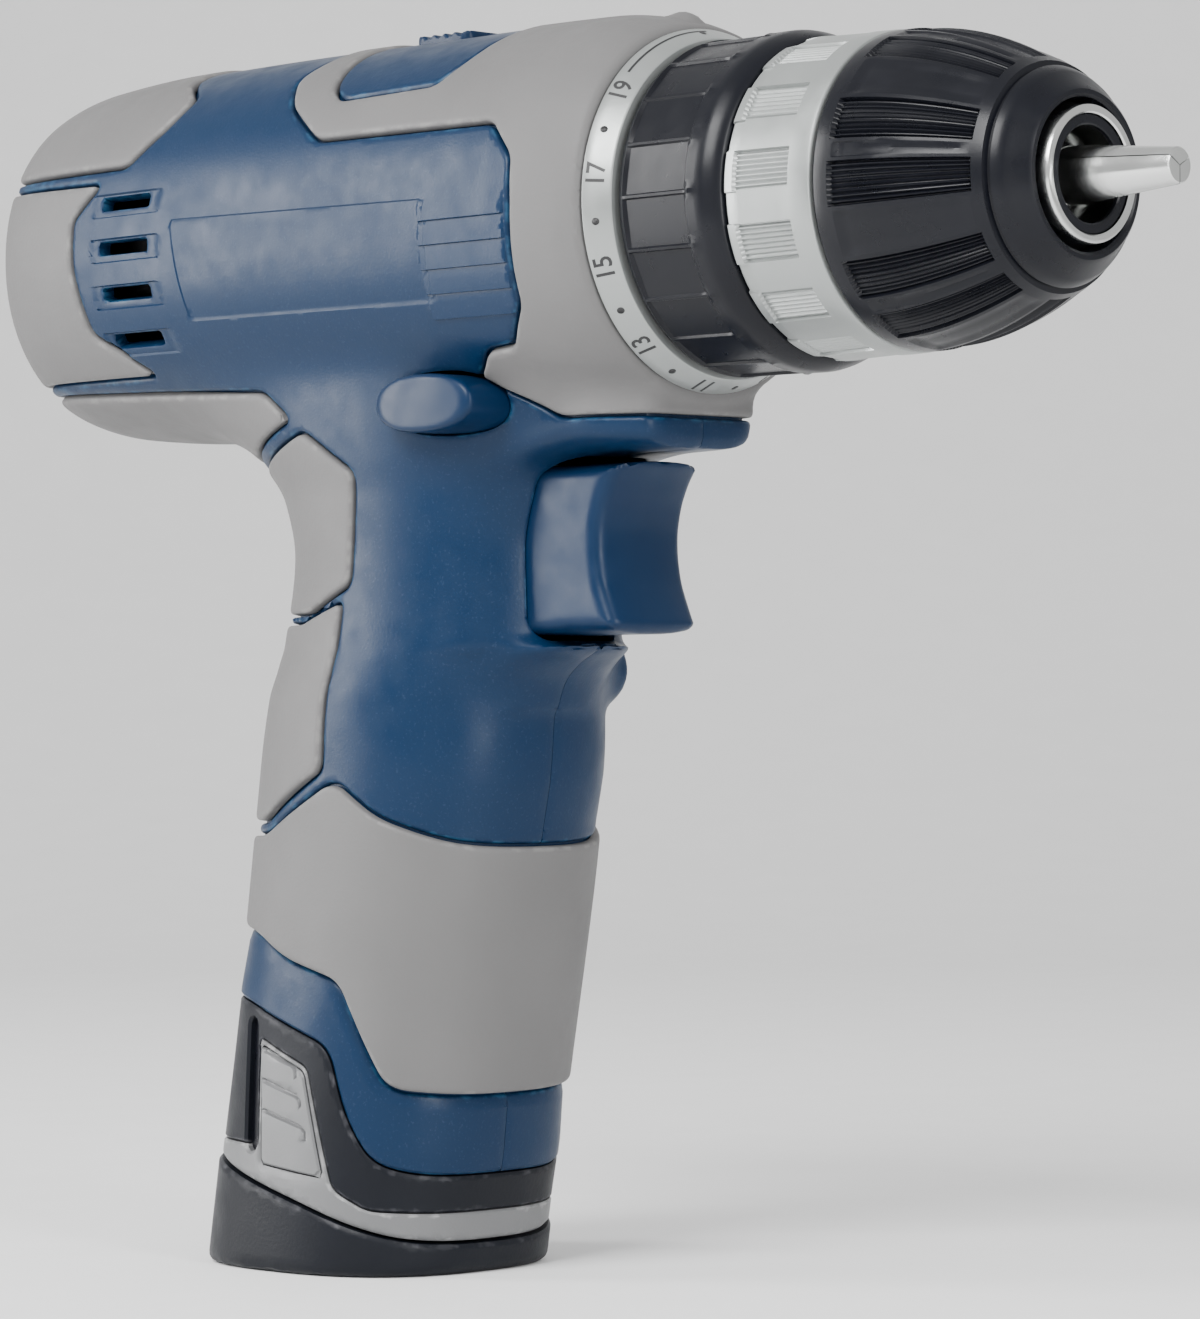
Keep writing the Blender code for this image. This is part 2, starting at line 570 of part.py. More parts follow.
# --- torque clutch ------------------------------------------------------------------------
def build_clutch():
    tube("clutch_washer", (44.6, 46.2), CASE_NECK_R + GAP, 18.5, (STEEL, 0.35, 1), 32)
    turns, radius, wire = 4.5, 15.3, 1.15
    x_low, x_high = 47.8, 68.0
    curve = bpy.data.curves.new("clutch_spring", "CURVE")
    curve.dimensions = "3D"
    spline = curve.splines.new("POLY")
    count = int(turns * 10)
    spline.points.add(count)
    for i, point in enumerate(spline.points):
        angle = 2 * math.pi * turns * i / count
        place = Vector((x_low + (x_high - x_low) * i / count, radius * math.cos(angle),
                        AXIS_Z + radius * math.sin(angle)))
        point.co = (*(place * MM), 1)
    curve.bevel_depth = wire * MM
    curve.bevel_resolution = 1
    curve.use_fill_caps = True
    add_object("clutch_spring", curve, (STEEL, 0.3, 1))
    tube("clutch_nut", (70.0, 74.6), CASE_NECK_R + GAP, 20.2, (BRASS, 0.4, 1), 32)

    turned("torque_collar", [(CASE_NECK_R + 0.6, 91.3), (21.4, 91.3), (22.4, 90.3), (23.3, 89.3),
                                      (23.3, 74.4), (23.0, 73.6), (22.3, 72.9), (20.8, 72.9), (20.8, 88.3),
                                      (CASE_NECK_R + 0.6, 88.3)], (BLACK, 0.35, 0), 36, SCALE_X[0])
    turned("scale_ring", [(21.0, 72.6), (23.6, 72.6), (25.4, 68.7), (25.0, 68.5), (21.0, 68.5)],
           (SILVER, 0.4, 1), 36, SCALE_X[0])


# --- chuck --------------------------------------------------------------------------------
def build_chuck():
    turned("chuck_body", [(5.9, 94.2), (5.9, 103.3), (16.3, 103.3), (7.9, 136.7), (8.8, 136.7),
                          (9.1, 136.2), (9.1, 134.6), (17.1, 108.0), (17.1, 102.0),
                          (11.5, 98.0), (11.5, 94.2)],
           (STEEL, 0.35, 1), 32)
    turned("chuck_rear_sleeve", [(17.4, 106.6), (21.2, 106.6), (21.6, 106.0), (22.0, 93.0), (21.6, 91.6),
                                 (17.4, 91.6)], (SILVER, 0.3, 1), 36)
    start, end = FRONT_SLEEVE_X
    barrel = []
    for step in range(7):
        share = step / 6
        barrel.append((13.4 + 8.1 * math.sin(share * math.pi / 2) ** 0.85,
                       end - (end - start - 1.1) * share))
    turned("chuck_front_sleeve", [(10.3, 135.4), (12.4, 135.4)] + barrel
           + [(21.1, start), (17.4, start), (17.4, 108.3)], (BLACK, 0.3, 0), 36)
    for index in range(3):
        build_jaw("jaw_%s" % "abc"[index], index * 2 * math.pi / 3)


def build_jaw(name, place):
    """One jaw: a sloping round bar cut to its third of a circle, made above the axis
    and then turned about it by place."""
    along = Vector((math.cos(JAW_ANGLE), 0, -math.sin(JAW_ANGLE)))
    tip = Vector((JAW_TIP_X, 0, 0.9))
    spin = Matrix.Translation((0, 0, AXIS_Z * MM)) @ Matrix.Rotation(place, 4, "X")
    bm = bmesh.new()
    middle = tip - along * JAW_LENGTH / 2
    bmesh.ops.create_cone(bm, cap_ends=True, segments=20, radius1=JAW_R * MM, radius2=JAW_R * MM,
                          depth=JAW_LENGTH * MM, matrix=Matrix.Translation(middle * MM)
                          @ along.to_track_quat("Z", "Y").to_matrix().to_4x4())
    bmesh.ops.transform(bm, matrix=spin, verts=bm.verts)
    jaw = add_object(name, mesh_from(bm, name), (STEEL, 0.25, 1))
    third = math.radians(60)
    wedge = [(0, 0.25), (-40 * math.sin(third), 0.25 + 40 * math.cos(third)), (0, 80),
             (40 * math.sin(third), 0.25 + 40 * math.cos(third))]
    sector_mesh = loft_mesh(name + "_sector", [[(x, y, z) for y, z in wedge] for x in (90, JAW_TIP_X - 0.1)])
    sector_mesh.transform(spin)
    boolean(jaw, add_object(name + "_sector", sector_mesh), "INTERSECT")
    nose = [(0, JAW_TIP_X), (2.4, JAW_TIP_X), (4.4, 143.0), (6.6, 137.5), (20, 130), (20, 95), (0, 95)]
    boolean(jaw, turned(name + "_tip", nose, None, 30), "INTERSECT")


def build_screws():
    """The clamshell screws, driven in from the left side."""
    for name, x, z, y in SCREWS:
        screw = cylinders(name, [((x, y + GAP, z), (x, y + 2.2, z), 2.5)], (STEEL, 0.35, 1), segments=20)
        shank = cylinders(name + "_shank", [((x, y - 14.4, z), (x, y + 1, z), 1.4)], segments=12)
        boolean(screw, shank, "UNION")
        socket = cylinders(name + "_socket", [((x, y + 1.2, z), (x, y + 5, z), 1.1)], segments=6)
        boolean(screw, socket)


clear_scene()
PARTS = new_collection("cordless_drill")
CUTTERS = new_collection("cutters")
build_housing()
build_pads()
build_screws()
build_battery()
build_controls()
build_motor()
build_gear_train()
build_clutch()
build_chuck()
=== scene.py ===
"""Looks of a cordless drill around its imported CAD: moulded skins, soft grips, turned rings and materials.

Shapes are worked out in millimetres in the row frame: x runs along the drill axis to the chuck, y is
the tool's left side, z is up. Every mesh is scaled to metres when its object is made.
"""
import json
import math
from itertools import product

import bpy
import numpy as np
from mathutils import Matrix, Vector


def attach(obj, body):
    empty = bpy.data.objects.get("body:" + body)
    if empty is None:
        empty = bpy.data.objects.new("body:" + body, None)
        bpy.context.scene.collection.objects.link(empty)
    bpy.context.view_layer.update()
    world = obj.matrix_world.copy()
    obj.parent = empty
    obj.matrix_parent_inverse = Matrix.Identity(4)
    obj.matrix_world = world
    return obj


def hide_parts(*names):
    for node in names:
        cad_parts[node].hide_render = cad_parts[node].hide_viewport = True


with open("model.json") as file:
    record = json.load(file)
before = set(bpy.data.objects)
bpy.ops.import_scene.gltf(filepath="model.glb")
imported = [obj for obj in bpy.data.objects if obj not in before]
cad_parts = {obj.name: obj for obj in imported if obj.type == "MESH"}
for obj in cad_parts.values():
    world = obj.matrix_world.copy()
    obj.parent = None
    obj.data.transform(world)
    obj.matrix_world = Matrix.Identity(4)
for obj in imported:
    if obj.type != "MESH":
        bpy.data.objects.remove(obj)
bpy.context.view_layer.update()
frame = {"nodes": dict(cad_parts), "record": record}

MM = 0.001
AXIS_Z = 150.4
LEAN = math.radians(10)
FAR = 60.0
BODY_STEP = 1.0

# Head sections: x, half width, half height of a superellipse about the drill axis.
HEAD = np.array([(-62, 17, 18), (-60.5, 20.6, 22.2), (-56.5, 23.6, 25.4), (-48, 25.6, 27.2),
    (-30, 26.9, 28.3),
                 (0, 27.5, 28.6), (40, 27.6, 28.6), (56, 27.6, 28.4), (64, 26.8, 27.3), (68.2, 25.7, 25.9)],
                 float)
# Grip and battery sections: z, back, front, half width, exponent.
GRIP = np.array([(0, -24.7, 23.7, 22.2, 2.6), (8, -23.3, 25.1, 22.2, 2.6), (16, -21.8, 26.7, 22.3, 2.6),
                 (33, -18.6, 29.9, 22.3, 2.6), (53, -15.4, 34.0, 22.6, 2.5), (64, -13.9, 35.9, 22.5, 2.5),
                 (74, -12.6, 37.4, 22.3, 2.5), (83, -11.4, 38.3, 22.0, 2.4), (88, -10.7, 41.0, 21.0, 2.3),
                 (91, -10.2, 43.6, 20.3, 2.3), (104, -8.3, 43.4, 19.4, 2.3), (112, -10.6, 45.4, 19.6, 2.3),
                 (118, -16, 49, 20.4, 2.3), (124, -24, 53, 20.8, 2.3), (133, -31, 55.5, 18.6, 2.3)], float)
# Ledge over the trigger: x, half width, lowest z, highest z.
LEDGE = np.array([(34, 15.3, 112.6, 131), (56, 14.5, 117, 131), (66.4, 11, 117.3, 129),
    (67.6, 9, 118.5, 127.5)],
                 float)
# Lip under the trigger: z, front, half width.
LIP = np.array([(82, 38.5, 12.0), (85, 40.0, 13.0), (87.4, 42.8, 13.2), (89.3, 46.4, 12.6),
                (90.8, 49.0, 11.8)], float)

PADS = {
    "rear_top_pad": [(-80, 162.8), (-27.5, 162.8), (-21.5, 168.5), (-19.5, 172.5), (-26, 176),
                     (-26, 190), (-80, 190)],
    "rear_cap": [(-80, 161.2), (-33, 160.2), (-38.6, 155.2), (-38.6, 148.0), (-36.4, 137.8),
                 (-26, 131.2), (-80, 131.2)],
    "rear_bottom_pad": [(-80, 129.8), (-2.5, 127.6), (3, 123.6), (-24, 114.5), (-80, 114.5)],
    "nose_cover": [(72, 190), (9.0, 190), (4.6, 176.6), (2.8, 173.4), (6.3, 169.0), (15.2, 163.2),
                   (51.2, 162.8), (56.4, 157.4), (56.8, 150.7), (56.2, 137.0), (51.3, 131.4),
                   (45.4, 130.9), (42.0, 127.6), (53.5, 122.2), (72, 122.2)],
    "grip_pad_upper": [(-30, 109.7), (6.0, 121.6), (16.4, 115.4), (15.0, 99.6), (5.4, 95.6),
                       (-30, 95.6)],
    "grip_pad_lower": [(-30, 94.0), (3.5, 94.0), (13.4, 97.0), (11.3, 72.9), (-2.5, 65.6),
                       (-30, 64.6)],
    "grip_sleeve": [(-40, 62.2), (-1.4, 63.4), (14.2, 71.3), (22.0, 66.2), (33.0, 62.0),
                    (46.0, 60.0), (60.0, 64.0), (60.0, 33.0), (60.0, 31.0), (44.0, 26.2),
                    (32.8, 25.4), (21.5, 27.4), (15.0, 42.8), (4.4, 45.6), (-3.0, 49.2),
                    (-40, 54.0)],
}
WINDOW = [(12.0, 190), (11.0, 176.5), (11.6, 174.2), (13.1, 170.9), (16.5, 168.8), (36.0, 169.3),
          (39.3, 173.1), (42.0, 179.0), (42.0, 190)]
CORNER = {"grip_sleeve": 2.5}
PAD_CORNER = 1.4

# Lines across the foot, each the top of a region that goes down to the floor.
FOOT_TOP = [(-80, 41), (-24, 41), (-5, 39), (12.4, 33.2), (15.0, 23.5), (18.6, 16.6), (24.4, 14.4),
            (80, 13.8)]
GREY_TOP = [(-80, 19.5), (-6.6, 18.5), (-2.6, 18.0), (-2.3, 34), (8.2, 30), (12.4, 12.6), (17.5, 9.6),
            (25, 9.0),
            (80, 8.8)]
CAP_TOP = [(-80, 22), (-24, 17.6), (-10, 14.6), (7, 10), (20.6, 5.4), (26, 4.2), (80, 3.6)]
LATCH = [(-1.9, 15.6), (10.9, 14.2), (7.6, 29.4), (-1.9, 33.0)]
LATCH_PULLS = (30.2, 25.8, 21.4)

BUTTON_AT, BUTTON_HALF = (35.2, 124.5), (9.6, 4.1)
TRIGGER_HALF, TRIGGER_Z = 8.8, (91.6, 116.4)
VENT_Z, VENT_X = (157.2, 150.4, 143.4, 136.4), (-31.7, -20.5)
LOGO_PANEL = [(-15.0, 153.6), (39.5, 152.6), (39.5, 138.2), (-12.5, 138.6)]
RIB_Z = (152.8, 149.4, 146.0, 142.6, 139.2, 135.8)
RIB_X = (38.2, 55.4)
GAP = 0.3
# Screws on the left: rear, nose, neck, grip, as x and z.
SCREWS = [(-56, 150.4), (36.5, 174.6), (18, 121.5), (30.5, 87)]
SCREW_HOLE, BOSS_RADIUS, BOSS_FACE = 2.9, 4.6, 18.6


# --- curves and fields ----------------------------------------------------------------------
def smooth_curve(knots, values):
    """A monotone cubic through the knots, level beyond them."""
    knots, values = np.asarray(knots, float), np.asarray(values, float)
    width = np.diff(knots)
    rise = np.diff(values) / width
    slope = np.zeros_like(values)
    same = rise[:-1] * rise[1:] > 0
    slope[1:-1][same] = 2 * (rise[:-1] * rise[1:])[same] / (rise[:-1] + rise[1:])[same]
    slope[0], slope[-1] = rise[0], rise[-1]

    def curve(x):
        x = np.clip(x, knots[0], knots[-1])
        i = np.clip(np.searchsorted(knots, x) - 1, 0, len(width) - 1)
        t = (x - knots[i]) / width[i]
        a = values[i] * (1 + 2 * t) * (1 - t) ** 2 + values[i + 1] * t * t * (3 - 2 * t)
        return a + width[i] * (slope[i] * t * (1 - t) ** 2 - slope[i + 1] * t * t * (1 - t))
    return curve


def smooth_min(a, b, radius):
    share = np.clip(0.5 + 0.5 * (b - a) / radius, 0, 1)
    return b * (1 - share) + a * share - radius * share * (1 - share)


def smooth_max(a, b, radius):
    return -smooth_min(-a, -b, radius)


def oval_field(a, b, half_a, half_b, exponent):
    """About the distance to a superellipse, negative inside."""
    rho = ((np.abs(a) / half_a) ** exponent + (np.abs(b) / half_b) ** exponent) ** (1 / exponent)
    return (rho - 1) * np.minimum(half_a, half_b)


def rounded(outline, radius, steps=6):
    """The outline with each corner turned into a short curve."""
    points = np.array(outline, float)
    result = []
    for before, corner, after in zip(np.roll(points, 1, 0), points, np.roll(points, -1, 0)):
        u, v = before - corner, after - corner
        lu, lv = np.linalg.norm(u), np.linalg.norm(v)
        cut = min(radius, 0.45 * lu, 0.45 * lv)
        a, b = corner + u / lu * cut, corner + v / lv * cut
        for k in range(steps + 1):
            t = k / steps
            result.append((1 - t) ** 2 * a + 2 * t * (1 - t) * corner + t * t * b)
    return np.array(result)


def outline_field(outline, radius=0.0):
    """Signed distance to a closed outline seen from the side, negative inside."""
    points = rounded(outline, radius) if radius else np.array(outline, float)
    ends = np.roll(points, -1, 0)

    def field(p):
        u, v = p[:, 0], p[:, 2]
        near = np.full(len(p), 1e9)
        inside = np.zeros(len(p), bool)
        for (ax, ay), (bx, by) in zip(points, ends):
            ex, ey = bx - ax, by - ay
            length = ex * ex + ey * ey
            if length < 1e-12:
                continue
            t = np.clip(((u - ax) * ex + (v - ay) * ey) / length, 0, 1)
            near = np.minimum(near, (u - ax - t * ex) ** 2 + (v - ay - t * ey) ** 2)
            if ay != by:
                crosses = (ay > v) != (by > v)
                inside ^= crosses & (u < ex * (v - ay) / (by - ay) + ax)
        return np.where(inside, -1, 1) * np.sqrt(near)
    return field


def line_field(points, half_width=0.0):
    """Distance to an open line, less half its width."""
    def field(p):
        u, v = p[:, 0], p[:, 2]
        near = np.full(len(p), 1e9)
        for (ax, ay), (bx, by) in zip(points, points[1:]):
            ex, ey = bx - ax, by - ay
            t = np.clip(((u - ax) * ex + (v - ay) * ey) / (ex * ex + ey * ey), 0, 1)
            near = np.minimum(near, (u - ax - t * ex) ** 2 + (v - ay - t * ey) ** 2)
        return np.sqrt(near) - half_width
    return field


def under(top, radius):
    """The region under a line across the foot."""
    return outline_field(top + [(80, -40), (-80, -40)], radius)


HEAD_W, HEAD_H = (smooth_curve(HEAD[:, 0], HEAD[:, k]) for k in (1, 2))
GRIP_BACK, GRIP_FRONT, GRIP_W, GRIP_N = (smooth_curve(GRIP[:, 0], GRIP[:, k]) for k in (1, 2, 3, 4))
LEDGE_W, LEDGE_LOW, LEDGE_HIGH = (smooth_curve(LEDGE[:, 0], LEDGE[:, k]) for k in (1, 2, 3))
LIP_FRONT, LIP_W = (smooth_curve(LIP[:, 0], LIP[:, k]) for k in (1, 2))


def head_field(p):
    x, y, z = p.T
    field = oval_field(y, z - AXIS_Z, HEAD_W(x), HEAD_H(x), 2.1)
    return smooth_max(smooth_max(field, -62 - x, 1.6), x - 68.2, 0.8)


def grip_field(p):
    x, y, z = p.T
    back, front = GRIP_BACK(z), GRIP_FRONT(z)
    field = oval_field(x - (back + front) / 2, y, (front - back) / 2, GRIP_W(z), GRIP_N(z))
    return smooth_max(field, z - 133, 1)


def ledge_field(p):
    x, y, z = p.T
    low, high = LEDGE_LOW(x), LEDGE_HIGH(x)
    field = oval_field(y, z - (low + high) / 2, LEDGE_W(x), (high - low) / 2, 4)
    return smooth_max(smooth_max(field, x - 67.6, 0.8), 34 - x, 1)


def lip_field(p):
    x, y, z = p.T
    half = (LIP_FRONT(z) - 16) / 2
    field = oval_field(x - 16 - half, y, half, LIP_W(z), 2.6)
    return smooth_max(smooth_max(field, z - 90.8, 1.8), 82 - z, 1)


def screw_boss(p):
    """The boss round the grip screw's head, on the left."""
    x, y, z = p.T
    column = np.hypot(x - SCREWS[3][0], z - SCREWS[3][1]) - BOSS_RADIUS
    return smooth_max(smooth_max(column, y - BOSS_FACE, 1.2), 4 - y, 1)


def body_field(p):
    """Head, grip, battery foot, trigger ledge and lip as one form."""
    form = smooth_min(head_field(p), grip_field(p), 6)
    form = smooth_min(form, ledge_field(p), 2)
    form = smooth_min(form, lip_field(p), 2.2)
    form = smooth_min(form, screw_boss(p), 2.5)
    return smooth_max(form, -p[:, 2], 1.6)


PAD_FIELDS = {name: outline_field(outline, CORNER.get(name, PAD_CORNER)) for name, outline in PADS.items()}
WINDOW_FIELD = outline_field(WINDOW, 1.5)


def pad_field(name):
    if name != "nose_cover":
        return PAD_FIELDS[name]
    return lambda p: np.maximum(PAD_FIELDS[name](p), -WINDOW_FIELD(p))


def all_pads(p):
    return np.min([pad_field(name)(p) for name in PADS], axis=0)


def button_hole(p):
    return oval_field(p[:, 0] - BUTTON_AT[0], p[:, 2] - BUTTON_AT[1], BUTTON_HALF[0] + GAP,
                      BUTTON_HALF[1] + GAP, 2.3)


def box_distance(u, v, low, high, radius):
    """Signed distance to a rounded rectangle."""
    cu, cv = (low[0] + high[0]) / 2, (low[1] + high[1]) / 2
    du = np.abs(u - cu) - (high[0] - low[0]) / 2 + radius
    dv = np.abs(v - cv) - (high[1] - low[1]) / 2 + radius
    return np.hypot(np.maximum(du, 0), np.maximum(dv, 0)) + np.minimum(np.maximum(du, dv), 0) - radius


def openings(p):
    """Distance to the nearest hole in the shells."""
    x, y, z = p.T
    trigger = box_distance(y, z, (-TRIGGER_HALF - GAP, TRIGGER_Z[0]), (TRIGGER_HALF + GAP, TRIGGER_Z[1]), 3.0)
    bore = np.hypot(y, z - AXIS_Z) - 23.3
    selector = box_distance(x, y, (12.2, -7.1), (32.4, 7.1), 0.8)
    holes = [np.where(x > 30, trigger, FAR), np.where(x > 60, bore, FAR), np.where(z > 165, selector, FAR),
             button_hole(p)]
    holes += [np.where(y > 0, np.hypot(x - a, z - b) - SCREW_HOLE, FAR) for a, b in SCREWS]
    holes += [box_distance(x, z, (VENT_X[0], at - 1.0), (VENT_X[1], at + 1.0), 0.5) for at in VENT_Z]
    return np.min(holes, axis=0)


def gradient(field, p, reach=0.05):
    steps = np.eye(3) * reach
    return np.stack([(field(p + s) - field(p - s)) / (2 * reach) for s in steps], 1)


def unit(vectors):
    return vectors / np.maximum(np.linalg.norm(vectors, axis=1), 1e-9)[:, None]


def pull_to(field, points, rounds=3):
    for _ in range(rounds):
        slope = gradient(field, points)
        move = field(points)[:, None] * slope / np.maximum((slope ** 2).sum(1), 1e-3)[:, None]
        size = np.linalg.norm(move, axis=1)[:, None]
        points = points - move * np.minimum(1, 0.8 / np.maximum(size, 1e-9))
    return points


def edges_of(triangles):
    """Each edge once, its lower vertex first, in rising order."""
    ends = np.sort(np.concatenate([triangles[:, [0, 1]], triangles[:, [1, 2]], triangles[:, [2, 0]]]), 1)
    base = int(triangles.max()) + 1
    keys = np.unique(ends[:, 0].astype(np.int64) * base + ends[:, 1])
    return np.stack([keys // base, keys % base], 1)


def surface_net(field, low, high, step, smoothing=3):
    """Triangles on field = 0, evened out and pulled onto the surface."""
    axes = [np.arange(a - step, b + 2 * step, step) for a, b in zip(low, high)]
    shape = tuple(len(a) for a in axes)
    grid = np.stack(np.meshgrid(*axes, indexing="ij"), -1).reshape(-1, 3)
    value = field(grid).reshape(shape)
    inside = value < 0
    cells = tuple(s - 1 for s in shape)
    filled = sum(inside[i:i + cells[0], j:j + cells[1], k:k + cells[2]].astype(np.int8)
                 for i, j, k in product((0, 1), repeat=3))
    active = (filled > 0) & (filled < 8)
    number = np.full(cells, -1)
    number[active] = np.arange(active.sum())
    places = np.argwhere(active)
    total, count = np.zeros((len(places), 3)), np.zeros(len(places))
    quads = []
    for axis in range(3):
        u, v = [a for a in range(3) if a != axis]
        along = np.eye(3, dtype=int)[axis]
        for du, dv in product((0, 1), repeat=2):
            start = places.copy()
            start[:, u] += du
            start[:, v] += dv
            a, b = value[tuple(start.T)], value[tuple((start + along).T)]
            crosses = (a < 0) != (b < 0)
            share = np.where(crosses, a / np.where(crosses, a - b, 1), 0)
            point = start + share[:, None] * along
            total[crosses] += point[crosses]
            count[crosses] += 1
        first = np.take(inside, range(shape[axis] - 1), axis)
        second = np.take(inside, range(1, shape[axis]), axis)
        at = np.argwhere(first != second)
        at = at[(at[:, u] > 0) & (at[:, v] > 0) & (at[:, u] < cells[u]) & (at[:, v] < cells[v])]
        ring = []
        for du, dv in ((-1, -1), (0, -1), (0, 0), (-1, 0)):
            cell = at.copy()
            cell[:, u] += du
            cell[:, v] += dv
            ring.append(number[tuple(cell.T)])
        ring = np.stack(ring, 1)
        outward = first[tuple(at.T)] ^ (axis == 1)
        quads.append(np.where(outward[:, None], ring, ring[:, ::-1]))
    points = total / count[:, None] * step + np.array([a[0] for a in axes])
    quads = np.concatenate(quads)
    short = (np.linalg.norm(points[quads[:, 0]] - points[quads[:, 2]], axis=1)
             < np.linalg.norm(points[quads[:, 1]] - points[quads[:, 3]], axis=1))
    split_a = np.concatenate([quads[:, [0, 1, 2]], quads[:, [0, 2, 3]]])
    split_b = np.concatenate([quads[:, [0, 1, 3]], quads[:, [1, 2, 3]]])
    triangles = np.where(np.concatenate([short, short])[:, None], split_a, split_b)
    pairs = edges_of(triangles)
    degree = np.bincount(pairs.ravel(), minlength=len(points))[:, None]
    points = pull_to(field, points)
    for _ in range(smoothing):
        mean = np.zeros_like(points)
        np.add.at(mean, pairs[:, 0], points[pairs[:, 1]])
        np.add.at(mean, pairs[:, 1], points[pairs[:, 0]])
        points = pull_to(field, points + 0.5 * (mean / degree - points), 2)
    return points, triangles


class Skin:
    """A triangle skin that can be cut along the level lines of a field."""

    def __init__(self, points, triangles, surface):
        self.points, self.triangles, self.surface = points, triangles, surface
        self.locked = np.zeros(len(points), bool)

    def cut(self, field, *levels):
        for level in levels:
            self._cut_one(lambda p: field(p) - level)

    def _cut_one(self, field):
        value = field(self.points)
        pairs = edges_of(self.triangles)
        value[self.locked & (np.abs(value) < 0.012)] = 0
        a, b = pairs[value[pairs[:, 0]] * value[pairs[:, 1]] < 0].T
        if not len(a):
            return
        share = value[a] / (value[a] - value[b])
        for near, far, part in ((a, b, share), (b, a, 1 - share)):
            pick = (part < 0.16) & ~self.locked[near]
            order = np.argsort(-part[pick])
            at, to, step = near[pick][order], far[pick][order], part[pick][order]
            moved = self.points[at] + (self.points[to] - self.points[at]) * step[:, None]
            self.points[at] = moved
            value[at] = 0
            self.locked[at] = True
        crossing = value[pairs[:, 0]] * value[pairs[:, 1]] < 0
        a, b = pairs[crossing].T
        if not len(a):
            return
        low, high = np.zeros(len(a)), np.ones(len(a))
        va, vb = value[a], value[b]
        for _ in range(3):
            share = low + (high - low) * va / (va - vb)
            place = self.points[a] + (self.points[b] - self.points[a]) * share[:, None]
            middle = field(place)
            same = middle * va > 0
            low, va = np.where(same, share, low), np.where(same, middle, va)
            high, vb = np.where(same, high, share), np.where(same, vb, middle)
            still = np.abs(va - vb) < 1e-9
            va, vb = np.where(still, -1e-9, va), np.where(still, 1e-9, vb)
        count = len(self.points)
        new = count + np.arange(len(a))
        keys = a.astype(np.int64) * (count + 1) + b
        self.points = np.concatenate([self.points, place])
        self.locked = np.concatenate([self.locked, np.ones(len(a), bool)])

        def between(i, j):
            key = np.minimum(i, j).astype(np.int64) * (count + 1) + np.maximum(i, j)
            at = np.clip(np.searchsorted(keys, key), 0, len(keys) - 1)
            return np.where(keys[at] == key, new[at], -1)

        t = self.triangles
        hits = np.stack([between(t[:, 0], t[:, 1]), between(t[:, 1], t[:, 2]), between(t[:, 2], t[:, 0])], 1)
        hit = hits >= 0
        parts = [t[~hit.any(1)]]
        for k in range(3):
            p0, p1, p2 = t[:, k], t[:, (k + 1) % 3], t[:, (k + 2) % 3]
            h01, h12, h20 = hits[:, k], hits[:, (k + 1) % 3], hits[:, (k + 2) % 3]
            one = hit[:, (k + 1) % 3] & ~hit[:, k] & ~hit[:, (k + 2) % 3]
            parts += [np.stack([p0, p1, h12], 1)[one], np.stack([p0, h12, p2], 1)[one]]
            two = hit[:, k] & hit[:, (k + 2) % 3]
            parts += [np.stack([p0, h01, h20], 1)[two], np.stack([h01, p1, p2], 1)[two],
                      np.stack([h01, p2, h20], 1)[two]]
        self.triangles = np.concatenate(parts)

    def centres(self):
        return self.points[self.triangles].mean(1)

    def take(self, keep):
        used, index = np.unique(self.triangles[keep], return_inverse=True)
        return self.points[used], index.reshape(-1, 3)


# --- objects --------------------------------------------------------------------------------
def new_object(name, points, faces, look, body, nodes=(), sharp=38, edge=None):
    """A mesh object from millimetres, riding on a CAD body."""
    mesh = bpy.data.meshes.new(name)
    mesh.from_pydata((np.asarray(points) * MM).tolist(), [], [list(map(int, f)) for f in faces])
    mesh.validate()
    mesh.polygons.foreach_set("use_smooth", [True] * len(mesh.polygons))
    mesh.set_sharp_from_angle(angle=math.radians(sharp))
    # The edge attribute marks where the materials paint edge wear and a painted edge highlight.
    if edge is not None:
        edge_wear_and_highlight = mesh.attributes.new("edge", "FLOAT", "POINT")
        edge_wear_and_highlight.data.foreach_set("value", np.clip(edge, 0, 1).astype(np.float32))
    mesh.materials.append(look)
    ob = bpy.data.objects.new(name, mesh)
    bpy.context.scene.collection.objects.link(ob)
    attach(ob, body)
    if nodes:
        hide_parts(*nodes)
    return ob


def thick_skin(points, triangles, surface, lift, depth):
    """A closed solid: the skin moved out by lift, a back at depth, and walls round every open edge."""
    normal = unit(gradient(surface, points))
    outer = points + normal * lift[:, None]
    inner = points - normal * np.broadcast_to(depth, len(points))[:, None]
    count = len(points)
    directed = np.concatenate([triangles[:, [0, 1]], triangles[:, [1, 2]], triangles[:, [2, 0]]])
    keys = directed[:, 0].astype(np.int64) * count + directed[:, 1]
    back = directed[:, 1].astype(np.int64) * count + directed[:, 0]
    rim = directed[~np.isin(keys, back)]
    walls = np.stack([rim[:, 1], rim[:, 0], rim[:, 0] + count, rim[:, 1] + count], 1)
    faces = triangles.tolist() + (triangles[:, ::-1] + count).tolist() + walls.tolist()
    return np.concatenate([outer, inner]), faces


def field_piece(name, field, low, high, step, look, body, nodes=(), sharp=38):
    points, triangles = surface_net(field, low, high, step)
    return new_object(name, points, triangles, look, body, nodes, sharp)


